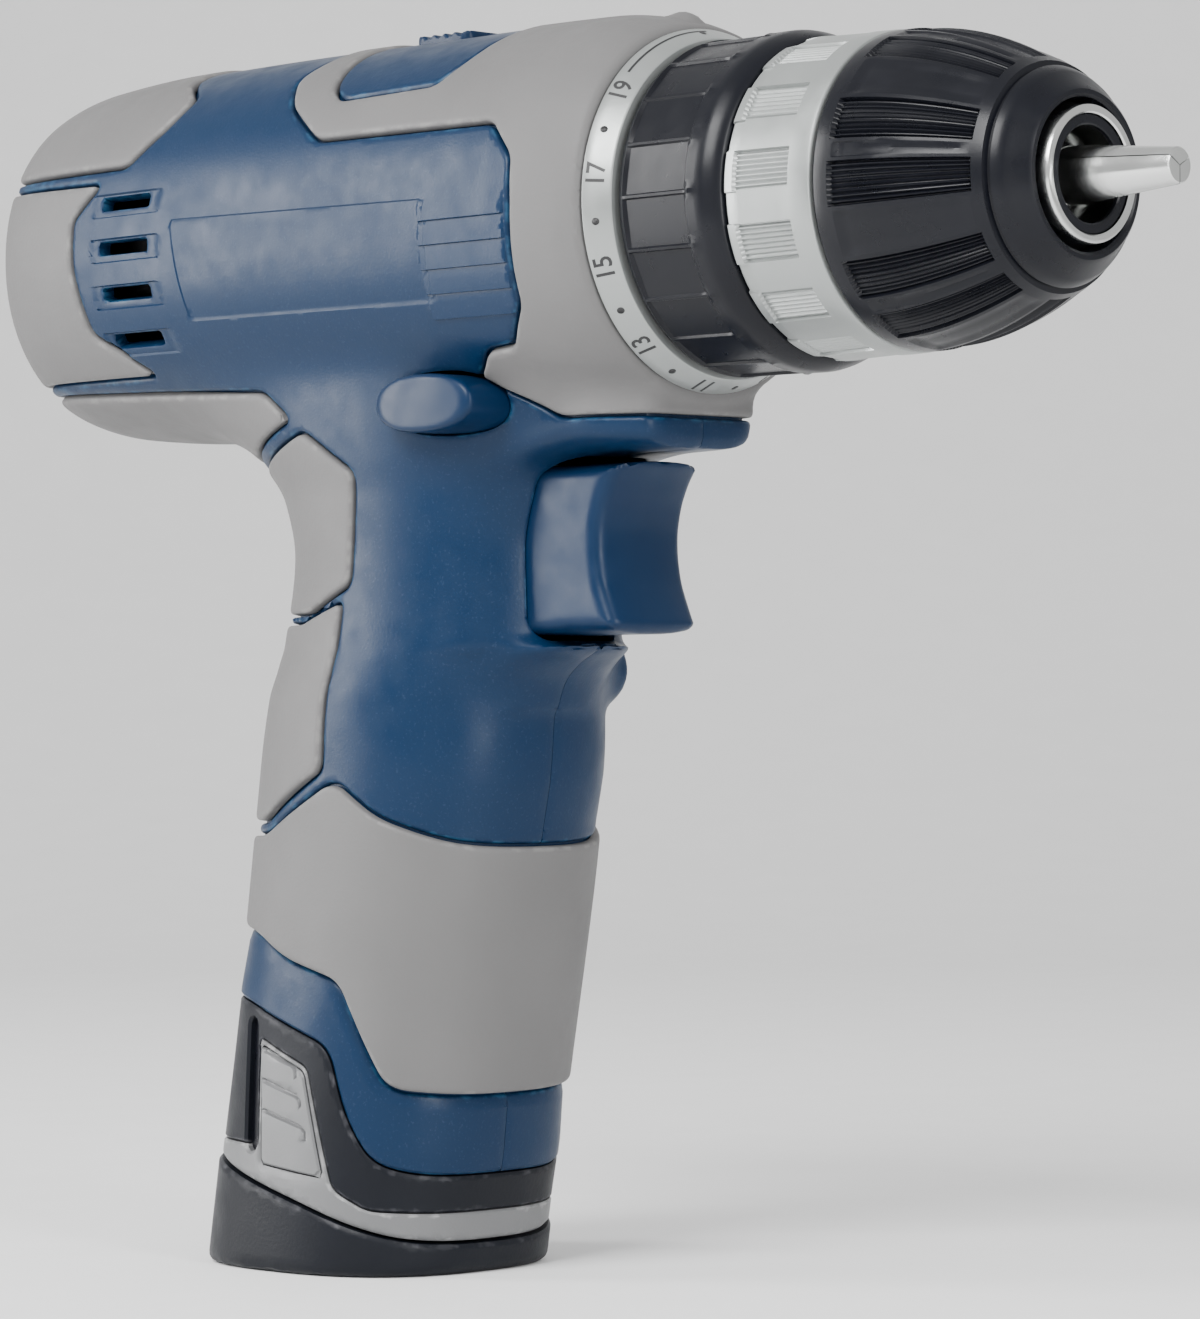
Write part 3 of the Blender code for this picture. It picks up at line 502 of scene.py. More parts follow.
def turned_piece(name, profile, angles, look, body, nodes=(), relief=None, sharp=32, step=1.0):
    """A closed (x, radius) profile turned about the drill axis, with relief added to its radius.
    Angles run from the top down the tool's right side."""
    loop = profile + [profile[0]]
    rows = []
    for (x0, r0), (x1, r1) in zip(loop, loop[1:]):
        pieces = max(1, int(math.hypot(x1 - x0, r1 - r0) / step))
        rows += [(x0 + (x1 - x0) * k / pieces, r0 + (r1 - r0) * k / pieces) for k in range(pieces)]
    x, r = np.array(rows).T
    turn = np.asarray(angles)
    xx, tt = np.meshgrid(x, turn, indexing="ij")
    rr = np.repeat(r[:, None], len(turn), 1)
    if relief is not None:
        rr = rr + relief(xx, rr, np.degrees(tt))
    points = np.stack([xx, -rr * np.sin(tt), AXIS_Z + rr * np.cos(tt)], -1).reshape(-1, 3)
    rows_count, across = xx.shape
    i, j = np.meshgrid(range(rows_count), range(across), indexing="ij")
    i2, j2 = (i + 1) % rows_count, (j + 1) % across
    faces = np.stack([i * across + j, i * across + j2, i2 * across + j2, i2 * across + j], -1).reshape(-1, 4)
    return new_object(name, points, faces, look, body, nodes, sharp)


def ring_angles(count):
    return np.arange(count) * 2 * math.pi / count


def pulse(x, start, end, edge):
    """1 between start and end, 0 outside, with straight ramps of the given width."""
    return np.clip((x - start) / edge, 0, 1) * np.clip((end - x) / edge, 0, 1)


# --- materials ------------------------------------------------------------------------------
def material(name, colour, roughness, metallic=0.0, coat=0.0, mottle=0.12, mottle_scale=60, grain=0.05,
             grain_scale=1600, rough_spread=0.06, edge_wear_and_highlight=None, sparkle=0.0, streak=None, specular=0.5):
    """A moulded, cast or machined finish: mottled colour, grained bump, uneven gloss, and worn edges with a
    painted edge highlight.
    """
    mat = bpy.data.materials.new(name)
    mat.use_nodes = True
    nodes, links = mat.node_tree.nodes, mat.node_tree.links
    shader = nodes["Principled BSDF"]
    shader.inputs["Metallic"].default_value = metallic
    shader.inputs["Specular IOR Level"].default_value = specular
    shader.inputs["Coat Weight"].default_value = coat
    shader.inputs["Coat Roughness"].default_value = 0.25
    place = nodes.new("ShaderNodeTexCoord")
    source = place.outputs["Object"]
    if streak is not None:
        stretch = nodes.new("ShaderNodeMapping")
        stretch.inputs["Scale"].default_value = streak
        links.new(source, stretch.inputs["Vector"])
        grain_source = stretch.outputs["Vector"]
    else:
        grain_source = source

    def noise(scale, detail, vector):
        node = nodes.new("ShaderNodeTexNoise")
        node.inputs["Scale"].default_value = scale
        node.inputs["Detail"].default_value = detail
        links.new(vector, node.inputs["Vector"])
        return node.outputs["Fac"]

    def mix(kind, factor, a, b):
        node = nodes.new("ShaderNodeMix")
        node.data_type = "RGBA"
        node.blend_type = kind
        for socket, value in ((node.inputs["Factor"], factor), (node.inputs[6], a), (node.inputs[7], b)):
            if isinstance(value, bpy.types.NodeSocket):
                links.new(value, socket)
            else:
                socket.default_value = value
        return node.outputs[2]

    def ramp(value, low, high, to_low, to_high):
        node = nodes.new("ShaderNodeMapRange")
        for label, number in (("From Min", low), ("From Max", high), ("To Min", to_low), ("To Max", to_high)):
            node.inputs[label].default_value = number
        links.new(value, node.inputs["Value"])
        return node.outputs["Result"]

    broad = noise(mottle_scale, 3, source)
    fine = noise(grain_scale, 2, grain_source)
    dark = tuple(c * (1 - mottle) for c in colour) + (1,)
    light = tuple(min(1, c * (1 + mottle)) for c in colour) + (1,)
    tint = mix("MIX", ramp(broad, 0.3, 0.7, 0, 1), dark, light)
    if sparkle:
        flecks = ramp(noise(2600, 1, source), 0.62, 0.75, 0, sparkle)
        tint = mix("MIX", flecks, tint, tuple(min(1, c * 2.2 + 0.06) for c in colour) + (1,))
    # Edge colour: a lighter tint along the marked edges, broken up by noise, paints edge wear together with a
    # painted edge highlight on the rims.
    if edge_wear_and_highlight is not None:
        at_edge = nodes.new("ShaderNodeAttribute")
        at_edge.attribute_name = "edge"
        wear_and_highlight_patches = ramp(noise(420, 4, source), 0.4, 0.62, 0, 1)
        wear_and_highlight_amount = nodes.new("ShaderNodeMath")
        wear_and_highlight_amount.operation = "MULTIPLY"
        links.new(at_edge.outputs["Fac"], wear_and_highlight_amount.inputs[0])
        links.new(wear_and_highlight_patches, wear_and_highlight_amount.inputs[1])
        tint = mix("MIX", ramp(wear_and_highlight_amount.outputs["Value"], 0.25, 1, 0, 0.6), tint, (*edge_wear_and_highlight, 1))
    links.new(tint, shader.inputs["Base Color"])
    links.new(ramp(noise(mottle_scale * 4, 4, source), 0.3, 0.7, roughness - rough_spread,
                   roughness + rough_spread),
              shader.inputs["Roughness"])
    bump = nodes.new("ShaderNodeBump")
    bump.inputs["Strength"].default_value = grain
    bump.inputs["Distance"].default_value = 0.0002
    links.new(fine, bump.inputs["Height"])
    links.new(bump.outputs["Normal"], shader.inputs["Normal"])
    mat.diffuse_color = (*colour, 1)
    return mat


BLUE = (0.0002, 0.0135, 0.043)
# Each wear colour is a lighter tint of its base, used along marked edges as edge wear and a painted edge
# highlight.
LOOKS = {
    "blue_shell": material("blue_shell", BLUE, 0.38, mottle=0.02, grain=0.10, grain_scale=2400,
        sparkle=0.12, specular=0.2,
                           edge_wear_and_highlight=(0.02, 0.08, 0.15)),
    "blue_controls": material("blue_controls", (0.0002, 0.012, 0.04), 0.36, mottle=0.05, grain=0.04,
        specular=0.2,
                              grain_scale=2200, edge_wear_and_highlight=(0.02, 0.08, 0.15)),
    "grey_overmould": material("grey_overmould", (0.118, 0.116, 0.116), 0.55, mottle=0.05, grain=0.16,
        specular=0.25,
                               grain_scale=1900, edge_wear_and_highlight=(0.22, 0.215, 0.21)),
    "black_gloss": material("black_gloss", (0.004, 0.0045, 0.007), 0.3, mottle=0.1, specular=0.2, grain=0.03,
                            grain_scale=2200, rough_spread=0.05),
    "black_plastic": material("black_plastic", (0.005, 0.006, 0.009), 0.42, mottle=0.12, grain=0.14,
        specular=0.15,
                              grain_scale=1800, edge_wear_and_highlight=(0.09, 0.09, 0.1)),
    "grey_plastic": material("grey_plastic", (0.115, 0.117, 0.12), 0.42, mottle=0.05, grain=0.1,
                             grain_scale=2100, edge_wear_and_highlight=(0.42, 0.42, 0.42)),
    "silver_plastic": material("silver_plastic", (0.29, 0.305, 0.3), 0.36, metallic=0.55, mottle=0.04,
        grain=0.05,
                               grain_scale=2500),
    "bright_steel": material("bright_steel", (0.66, 0.67, 0.66), 0.2, metallic=1.0, mottle=0.05, grain=0.06,
                             grain_scale=900, streak=(6, 1, 1)),
    "gear_steel": material("gear_steel", (0.42, 0.42, 0.43), 0.34, metallic=1.0, mottle=0.1, grain=0.1),
    "screw_steel": material("screw_steel", (0.3, 0.3, 0.31), 0.36, metallic=1.0, mottle=0.12, grain=0.1),
    "bearing_brass": material("bearing_brass", (0.62, 0.43, 0.18), 0.34, metallic=1.0, mottle=0.12,
        grain=0.1),
    "rotor": material("rotor", (0.5, 0.26, 0.15), 0.4, metallic=0.8, mottle=0.2, grain=0.3, grain_scale=900,
                      streak=(1, 6, 6)),
    "magnet": material("magnet", (0.03, 0.03, 0.032), 0.6, mottle=0.2, grain=0.3, grain_scale=700),
    "gear_case_plastic": material("gear_case_plastic", (0.1, 0.1, 0.105), 0.5, metallic=0.6, mottle=0.15,
                                  grain=0.2, grain_scale=900),
    "cell_wrap": material("cell_wrap", (0.03, 0.13, 0.055), 0.3, mottle=0.08, grain=0.05, grain_scale=500),
    "red_wire": material("red_wire", (0.36, 0.012, 0.01), 0.42, mottle=0.1, grain=0.08, grain_scale=900),
    "black_wire": material("black_wire", (0.014, 0.014, 0.016), 0.42, mottle=0.15, grain=0.08,
        grain_scale=900),
}
INK = material("ink", (0.01, 0.01, 0.011), 0.5, mottle=0.15, grain=0.1, grain_scale=2600)


def dress_cad():
    """Every carried-over CAD node takes the finish of its slot in the record."""
    for entry in frame["record"]["subparts"]:
        data = frame["nodes"][entry["node"]].data
        data.materials.clear()
        data.materials.append(LOOKS[entry["material_slot"]])


# --- the moulded skin -----------------------------------------------------------------------
def shell_relief(p, pads, holes):
    """How far the blue shell stands from the form: dips round pads and holes, panels, ribs and louvres."""
    x, y, z = p.T
    sleeve = PAD_FIELDS["grip_sleeve"](p)
    level = -0.35 - 0.45 * np.clip(1 - (sleeve - 2) / 7, 0, 1)
    level -= 0.4 * np.clip((2.3 - sleeve) / 1.7, 0, 1) * (z < 60)
    side = np.abs(y) > 12
    level = level - 0.16 * np.clip((0.1 - LOGO_FIELD(p)) / 0.2, 0, 1) * side
    inside_ribs = (x > RIB_X[0] - 0.05) & (x < RIB_X[1] + 0.05) & side
    step = np.interp(z, *rib_steps())
    fade = np.clip((x - RIB_X[0]) / 0.25, 0, 1) * np.clip((RIB_X[1] - x) / 0.25, 0, 1)
    level = level + np.where(inside_ribs, step * fade, 0)
    for at in VENT_Z:
        lower = pulse(z, at - 2.2, at + 1.5, 0.22) * pulse(x, VENT_X[0] - 1.8, VENT_X[1] + 2.6, 0.22)
        level = level - 0.3 * lower * side
    level = level + np.interp(holes, [0, 0.12, 0.45], [-0.4, -0.1, 0])
    dip = np.interp(pads, [0.3, 0.4, 0.65, 1.0], [-1.6, -0.45, -0.12, 0])
    return np.where(pads < 0.4, -1.6 + (dip + 1.6) / 1.15 * (level + 1.6 - 0.45), level + dip)


def rib_steps():
    """Sawtooth of the ribs beside the nose: z values and heights."""
    places, heights = [RIB_Z[-1] - 0.2], [0.0]
    for top, bottom in zip(RIB_Z[-2::-1], RIB_Z[:0:-1]):
        places += [bottom, bottom + 0.14, top - 0.06]
        heights += [0.0, 0.34, 0.05]
    return places + [RIB_Z[0]], heights + [0.0]


LOGO_FIELD = outline_field(LOGO_PANEL, 0.8)
FOOT_FIELD = under(FOOT_TOP, 3.0)
GREY_FIELD = under(GREY_TOP, 1.3)
CAP_FIELD = under(CAP_TOP, 3.0)
LATCH_FIELD = outline_field(LATCH, 1.0)
PILL_FIELD = line_field([(-4.4, 18.6), (-4.4, 35.4)], 1.35)


def pull_line(z):
    """One finger line on a latch: sloping down to the front, then hooked."""
    front = 6.0 + (30 - z) * 0.2
    return [(-1.0, z + 2.0), (front - 0.6, z), (front, z - 0.7), (front, z - 1.9)]


def pull_lines(p):
    return np.min([line_field(pull_line(z))(p) for z in LATCH_PULLS], axis=0)


def cut_skin():
    points, triangles = surface_net(body_field, (-63, -28.5, -1), (69, 28.5, 180), BODY_STEP)
    skin = Skin(points, triangles, body_field)
    skin.cut(lambda p: p[:, 1], 0.0)
    skin.cut(FOOT_FIELD, -0.6, -0.16, 0.16, 0.6)
    skin.cut(lambda p: np.where(FOOT_FIELD(p) < 0.5, GREY_FIELD(p), FAR), -0.4, -0.1, 0.1, 0.4)
    skin.cut(CAP_FIELD, -0.8, -0.24, 0.24, 0.8)
    side = lambda field: lambda p: np.where(np.abs(p[:, 1]) > 12, field(p), FAR)
    skin.cut(side(LATCH_FIELD), -0.4, -0.12, 0.12)
    skin.cut(side(PILL_FIELD), -0.1, 0.0, 0.4)
    for z in LATCH_PULLS:
        above = outline_field([(-12, z + 4.7)] + pull_line(z)[1:] + [(-12, z - 1.9)])
        skin.cut(side(above), -0.34, -0.12, 0.12, 0.34)
    skin.cut(all_pads, -0.9, -0.5, -0.2, -0.06, 0.0, 0.3, 0.4, 0.65, 1.0)
    skin.cut(PAD_FIELDS["grip_sleeve"], 2.3)
    skin.cut(openings, 0.0, 0.12, 0.45)
    skin.cut(side(LOGO_FIELD), -0.1, 0.1)
    for edge in RIB_X:
        skin.cut(lambda p: p[:, 0], edge, edge + math.copysign(0.25, 45 - edge))
    for z in RIB_Z[1:]:
        skin.cut(lambda p: p[:, 2], z, z + 0.14)
    for z in VENT_Z:
        skin.cut(lambda p: p[:, 2], z - 2.2, z - 1.98, z + 1.28, z + 1.5)
    return skin


def build_skin():
    skin = cut_skin()
    centre = skin.centres()
    holes, foot = openings(centre), FOOT_FIELD(centre)
    grey, cap, latch, pill = (f(centre) for f in (GREY_FIELD, CAP_FIELD, LATCH_FIELD, PILL_FIELD))
    on_side = np.abs(centre[:, 1]) > 12
    shell = (foot > 0.16) & (holes > 0)
    for name, keep in (("right", centre[:, 1] < 0), ("left", centre[:, 1] > 0)):
        points, triangles = skin.take(shell & keep)
        d, o = all_pads(points), openings(points)
        lift = shell_relief(points, d, o)
        seam = np.abs(points[:, 1])
        lift = lift + np.interp(FOOT_FIELD(points), [0.16, 0.6], [-0.35, 0])
        # Edge mask near pads, holes and the foot line, where the shell's material paints edge wear and an
        # edge highlight.
        edge = np.maximum.reduce([1 - np.abs(d - 0.7) / 0.5, 1 - o / 0.6, 1 - FOOT_FIELD(points) / 0.8])
        lift = np.where((seam < 1e-6) & (d > 0.35), lift - 0.12, lift)
        in_lip = np.clip((points[:, 0] - 36) / 4, 0, 1) * pulse(points[:, 2], 79, 93.5, 2)
        solid, faces = thick_skin(points, triangles, body_field, lift, 2.8 - 1.9 * in_lip)
        solid[:, 1] += np.where(np.abs(solid[:, 1]) < 0.03, -0.04 if name == "right" else 0.04, 0)
        new_object("shell_" + name, solid, faces, LOOKS["blue_shell"], "body",
                   ["housing_" + name], edge=np.concatenate([edge, edge * 0]))
    for name in PADS:
        points, triangles = skin.take((pad_field(name)(centre) < 0) & (foot > 0.16) & (holes > 0))
        d, o = pad_field(name)(points), openings(points)
        lift = np.interp(d, [-0.9, -0.5, -0.2, -0.06, 0], [0, -0.05, -0.2, -0.45, -1.2])
        lift = lift + np.interp(o, [0, 0.12, 0.45], [-0.35, -0.1, 0])
        if name == "nose_cover":
            bump = np.hypot(points[:, 0] - 64.4, points[:, 1]) / 2.4
            lift = lift + np.where(points[:, 2] > AXIS_Z, 1.0 * np.clip(1 - bump ** 2, 0, 1) ** 0.7, 0)
        # Edge mask along the pad's rim and holes, where the material paints edge wear and an edge highlight.
        edge = np.maximum(1 - np.abs(d + 0.3) / 0.5, 1 - o / 0.6)
        solid, faces = thick_skin(points, triangles, body_field, lift, 1.3)
        new_object(name + "_skin", solid, faces, LOOKS["grey_overmould"], "body", [name],
                   edge=np.concatenate([edge, edge * 0]))
    low = foot < -0.16
    in_latch = (latch < 0.12) & on_side
    pill_hole = (pill < 0) & on_side
    pieces = {
        "battery_frame": (low & (grey > 0.1) & (cap > 0.24) & ~in_latch & ~pill_hole, "black_plastic",
                          "battery", ["battery_case"], -0.45),
        "battery_collar": (low & (grey < -0.1) & (cap > 0.24) & ~in_latch & ~pill_hole, "grey_plastic",
                           "battery", ["battery_band"], -0.4),
        "battery_foot": (low & (cap < -0.24), "black_plastic", "battery", ["battery_cap"], 0.0),
        "latch_face_right": ((latch < -0.12) & on_side & (centre[:, 1] < 0), "grey_plastic", "latch_right",
                             ["battery_latch_right"], -0.35),
        "latch_face_left": ((latch < -0.12) & on_side & (centre[:, 1] > 0), "grey_plastic", "latch_left",
                            ["battery_latch_left"], -0.35),
        "battery_slots": (low & pill_hole, "black_gloss", "battery", [], -1.6),
    }
    for name, (keep, finish, body, nodes, level) in pieces.items():
        points, triangles = skin.take(keep)
        lift = np.full(len(points), level)
        f, g, c, t, w = (field(points) for field in (FOOT_FIELD, GREY_FIELD, CAP_FIELD, LATCH_FIELD,
            PILL_FIELD))
        near_side = np.abs(points[:, 1]) > 12
        lift += np.interp(f, [-0.6, -0.16], [0, -0.3]) + np.interp(np.abs(c), [0.24, 0.8], [-0.4, 0])
        lift += np.where(np.abs(t) < 0.5, np.interp(np.abs(t), [0.12, 0.4], [-0.25, 0]), 0) * near_side
        if name in ("battery_frame", "battery_collar"):
            lift += np.interp(np.abs(g), [0.1, 0.4], [-0.25, 0])
            lift += np.where(near_side, np.interp(w, [0, 0.4], [-0.4, 0]), 0)
        if name.startswith("latch"):
            lift += np.interp(pull_lines(points), [0.13, 0.36], [-0.45, 0])
        # Edge mask along the foot, cap and collar lines, where the material paints edge wear and an edge
        # highlight.
        edge = np.maximum.reduce([1 - np.abs(f + 0.4) / 0.5, 1 - np.abs(np.abs(c) - 0.5) / 0.5,
                                  1 - np.abs(np.abs(g) - 0.3) / 0.4])
        solid, faces = thick_skin(points, triangles, body_field, lift, 2.4)
        new_object(name, solid, faces, LOOKS[finish], body, nodes,
                   edge=np.concatenate([edge, edge * 0]))


def build_insert():
    """The battery's stalk that goes up inside the grip."""
    def field(p):
        x, y, z = p.T
        form = oval_field(x - math.tan(LEAN) * (z - 3), y, 21.0, 19.1 - 2.0 * np.clip((48 - z) / 2, 0, 1),
            2.6)
        return smooth_max(smooth_max(form, z - 78.9, 1.4), 8 - z, 1)
    field_piece("battery_stalk", field, (-24, -20, 7), (36, 20, 80), 1.8, LOOKS["black_plastic"], "battery")


# --- controls -------------------------------------------------------------------------------
def build_trigger():
    profile = [(33.5, 91.9), (57.4, 91.9), (58.6, 93.2), (57.3, 96.2), (56.0, 99.5), (55.4, 103.0),
               (55.4, 106.5),
               (56.2, 110.0), (57.8, 113.3), (60.2, 116.1), (33.5, 116.1)]
    side = outline_field(profile, 1.3)
    crown = lambda p: side(p) + 0.9 * np.clip(np.abs(p[:, 1]) / TRIGGER_HALF, 0,
        1) ** 2.5 * np.clip((p[:, 0] - 40) / 8, 0, 1)

    def field(p):
        return smooth_max(crown(p), np.abs(p[:, 1]) - TRIGGER_HALF, 1.9)
    field_piece("trigger_blade", field, (33, -9, 91), (61, 9, 117), 0.55, LOOKS["blue_controls"], "trigger",
                ["trigger"], 50)


def build_button():
    def field(p):
        x, y, z = p.T
        face = 24.2 - 0.35 * ((x - BUTTON_AT[0]) / BUTTON_HALF[0]) ** 2
        form = oval_field(x - BUTTON_AT[0], z - BUTTON_AT[1], BUTTON_HALF[0], BUTTON_HALF[1], 2.3)
        return smooth_max(smooth_max(form, np.abs(y) - face, 0.9), 12.5 - np.abs(y), 0.5)
    points, triangles = surface_net(field, (25, -25, 119.5), (46, 25, 129.5), 0.5)
    new_object("button_caps", points, triangles, LOOKS["blue_controls"], "direction_button",
               ["direction_button"], 50)
    arrow = np.array([(-2.6, -0.22), (1.2, -0.22), (0.2, -1.1), (1.0, -1.35), (2.7, 0), (1.0, 1.35),
        (0.2, 1.1),
                      (1.2, 0.22), (-2.6, 0.22)])
    for side, turn in ((-1, 0.42), (1, 0.42)):
        c, s = math.cos(turn), math.sin(turn)
        flat = np.array([(BUTTON_AT[0] + a * c - b * s, BUTTON_AT[1] + 0.1 - (a * s + b * c)) for a,
            b in arrow])
        points = [(x, side * (24.2 - depth), z) for depth in (0.06, 0.5) for x, z in flat]
        count = len(flat)
        faces = [list(range(count)), list(range(2 * count - 1, count - 1, -1))]
        faces += [(i, i + count, (i + 1) % count + count, (i + 1) % count) for i in range(count)]
        new_object("button_arrow_%s" % ("right" if side < 0 else "left"), points, faces,
                   LOOKS["grey_plastic"],
                   "direction_button")


def build_selector():
    def field(p):
        x, y, z = p.T
        knob = np.maximum(box_distance(x, y, (15, -5.4), (26.2, 5.4), 1.6),
                          z - 179.4 + 0.3 * (1 + np.cos(2 * math.pi * (x - 15.6) / 2.2)) * pulse(x, 16,
                              25.2, 0.6))
        plate = smooth_max(box_distance(x, y, (13.4, -6.8), (27.8, 6.8), 0.8), np.abs(z - 176.5) - 0.5, 0.3)
        return smooth_max(smooth_min(knob, plate, 0.5), 176.0 - z, 0.2)
    field_piece("selector_slide", field, (13, -7, 175.5), (28.2, 7, 180), 0.4, LOOKS["blue_controls"],
                "speed_selector", ["speed_selector"], 45)


# --- turned parts ---------------------------------------------------------------------------
def around(degrees, period, offset=0.0):
    return np.mod(degrees - offset, period)


def collar_relief(x, r, degrees):
    """Shallow panels between thin ridges, behind a smooth rim."""
    outside = r > 21
    local = around(degrees, 18)
    ridge = np.clip((np.minimum(local, 18 - local) - 0.45) / 0.5, 0, 1)
    sag = 0.16 * np.sin(math.pi * local / 18)
    dot = np.hypot((np.minimum(local, 18 - local)) * 0.4, x - 86.6) < 0.42
    return np.where(outside, -(0.3 + sag) * ridge * pulse(x, 74.4, 86.0, 0.5) + 0.22 * dot, 0)


def angles_at(period, marks):
    """Angles, in radians, at the same marks in every period of the ring."""
    return np.radians(np.sort(np.concatenate([np.asarray(marks) + k * period
                                              for k in range(round(360 / period))])))


def fine_ribs(local, start, end, count):
    """Rounded ribs across part of a period."""
    share = np.clip((local - start) / (end - start), 0, 1)
    return 0.5 - 0.5 * np.cos(2 * math.pi * count * share)


REAR_PERIOD, REAR_RIBBED = 360 / 14, 14.0


def rear_relief(x, r, degrees):
    local = around(degrees, REAR_PERIOD)
    ribbed = pulse(local, 0, REAR_RIBBED, 0.3) * pulse(x, 93.3, 103.0, 0.3) * (r > 20)
    plain = pulse(local, REAR_RIBBED + 0.3, REAR_PERIOD, 0.3) * pulse(x, 91.0, 94.2, 0.3) * (r > 20)
    return -ribbed * (0.62 - 0.3 * fine_ribs(local, 0.6, REAR_RIBBED - 0.6, 7)) - 0.35 * plain


def front_relief(x, r, degrees):
    local = around(degrees, 60)
    outside = (r > 14.8) & (x > 107.2)
    result = np.zeros_like(r)
    for start, end in ((0, 16), (24, 40)):
        here = pulse(local, start, end, 0.4) * pulse(x, 109.6, 129.4, 0.4)
        result -= here * (0.75 - 0.42 * fine_ribs(local, start + 0.6, end - 0.6, 8))
    for start, end in ((17.2, 22.8), (41.5, 58.5)):
        taper = (x - 109) / 20 * (end - start) * 0.12
        here = pulse(local, start + taper, end - taper, 0.4) * pulse(x, 110.4, 128.4, 0.4)
        result -= 0.3 * here
    return np.where(outside, result, 0)


def build_turned():
    looks = LOOKS
    marks = sorted({0.0, 0.45, 0.95, 17.05, 17.55, *np.arange(2, 17, 1.5)})
    turned_piece("collar_grip", [(91.3, 13.6), (91.3, 21.4), (91.05, 21.9), (90.3, 22.5), (89.3, 23.1),
        (88.4, 23.3),
                                 (86.6, 23.3), (86.0, 23.3), (85.5, 23.3), (74.9, 23.3), (74.4, 23.3),
                                 (73.6, 23.0),
                                 (72.9, 22.3), (72.9, 20.8), (88.3, 20.8), (88.3, 13.6)],
                 angles_at(18, marks), looks["black_gloss"], "torque_collar",
                 ["torque_collar"], collar_relief, 30, 0.9)
    turned_piece("scale_band", [(72.6, 21.0), (72.6, 23.5), (72.5, 23.62), (72.3, 23.73), (68.9, 25.3),
        (68.7, 25.3),
                                (68.5, 25.0), (68.5, 21.0)], ring_angles(160), looks["silver_plastic"],
                 "torque_collar", ["scale_ring"])
    marks = sorted({0.0, 0.3, 13.7, 14.0, 14.3, *np.linspace(0.6, REAR_RIBBED - 0.6, 36), 14.6, 18, 22,
                    REAR_PERIOD - 0.3})
    turned_piece("chuck_ring", [(106.6, 17.4), (106.6, 21.2), (106.45, 21.5), (106.0, 21.62), (103.0, 21.7),
                                (102.7, 21.7), (94.2, 22.0), (93.9, 22.0), (93.6, 22.0), (93.3, 22.0),
                                (92.0, 21.9),
                                (91.6, 21.6), (91.6, 17.4)],
                 angles_at(REAR_PERIOD, marks), looks["silver_plastic"], "spindle",
                 ["chuck_rear_sleeve"], rear_relief, 28, 1.6)
    barrel = [(133.4 - 25.4 * k / 24, 13.4 + 8.1 * math.sin(k / 24 * math.pi / 2) ** 0.85) for k in range(25)]
    crisp = [129.4, 129.0, 110.4, 110.0, 109.6]
    radius = smooth_curve([x for x, _ in barrel[::-1]], [r for _, r in barrel[::-1]])
    outer = sorted([(x, float(radius(x))) for x in [b[0] for b in barrel if b[0] < 130.6] + crisp],
                   reverse=True)
    marks = sorted({0.0, 0.4, 15.6, 16.0, 17.2, 17.6, 22.4, 22.8, 24.0, 24.4, 39.6, 40.0, 41.5, 41.9, 58.1,
                    58.5,
                    *np.linspace(0.6, 15.4, 40), *np.linspace(24.6, 39.4, 40), *np.linspace(44, 56, 5), 20.0})
    turned_piece("chuck_grip", [(133.0, 9.9), (135.4, 10.1), (135.7, 10.5), (135.7, 11.1), (135.3, 11.6),
                                (133.6, 12.9), (133.2, 13.5), (132.2, 14.2), (131.5, 14.5), (131.2, 14.1),
                                (130.9, 14.3), (130.7, 15.2)] + outer
                 + [(107.4, 21.45), (106.9, 21.1), (106.9, 17.4), (108.3, 17.4)],
                 angles_at(60, marks), looks["black_gloss"], "front_sleeve",
                 ["chuck_front_sleeve"], front_relief, 28, 1.4)
    turned_piece("chuck_core", [(94.2, 5.9), (103.3, 5.9), (103.3, 16.0), (134.0, 8.6), (136.1, 7.9),
        (136.5, 7.9),
                                (136.7, 8.1), (136.75, 8.6), (136.6, 9.0), (136.2, 9.15), (134.6, 9.15),
                                (108.0, 17.1),
                                (102.0, 17.1), (98.0, 11.5), (94.2, 11.5)], ring_angles(128),
                 looks["bright_steel"], "spindle", ["chuck_body"], None, 32, 2.0)
    # A black ring at the chuck's nose round the jaws: painted shade standing in for the shaded bore.
    turned_piece("chuck_bore_shade", [(135.6, 6.4), (136.15, 6.4), (136.3, 6.6), (136.3, 7.7), (136.1, 7.85),
        (134.6, 8.0)],
                 ring_angles(96), looks["black_gloss"], "spindle", (), None, 32, 0.6)


def build_jaws():
    """Each jaw is a third of a tapered pin with a shoulder that runs back up the chuck's cone."""
    profile = [(150.85, 2.2), (150.7, 2.38), (150.3, 2.45), (143, 3.1), (136.4, 3.68), (133.2, 3.9),
               (132.2, 5.9),
               (124.0, 8.4)]
    for index, name in enumerate(("jaw_a", "jaw_b", "jaw_c")):
        middle = index * 2 * math.pi / 3
        rings = []
        for x, r in profile:
            apex = 0.06 if x > 135 else (135 - x) * math.tan(math.radians(14)) * 0.8 + 0.06
            arc = np.radians(np.linspace(-59.5 + 3 / r, 59.5 - 3 / r, 17))
            ring = [(apex, 0.0)] + [(r * math.cos(a), r * math.sin(a)) for a in arc]
            ring = [(x, u, v) for u, v in ring]
            rings.append(ring)
        points = []
        for ring in rings:
            for x, u, v in ring:
                up = u * math.cos(middle) - v * math.sin(middle)
                across = u * math.sin(middle) + v * math.cos(middle)
                points.append((x, -across, AXIS_Z + up))
        count = len(rings[0])
        faces = [list(range(count - 1, -1, -1)), [len(points) - count + i for i in range(count)]]
        for k in range(len(rings) - 1):
            faces += [(k * count + i, k * count + (i + 1) % count, (k + 1) * count + (i + 1) % count,
                       (k + 1) * count + i) for i in range(count)]
        new_object("pin_" + name, points, faces, LOOKS["bright_steel"], name, [name], 30)


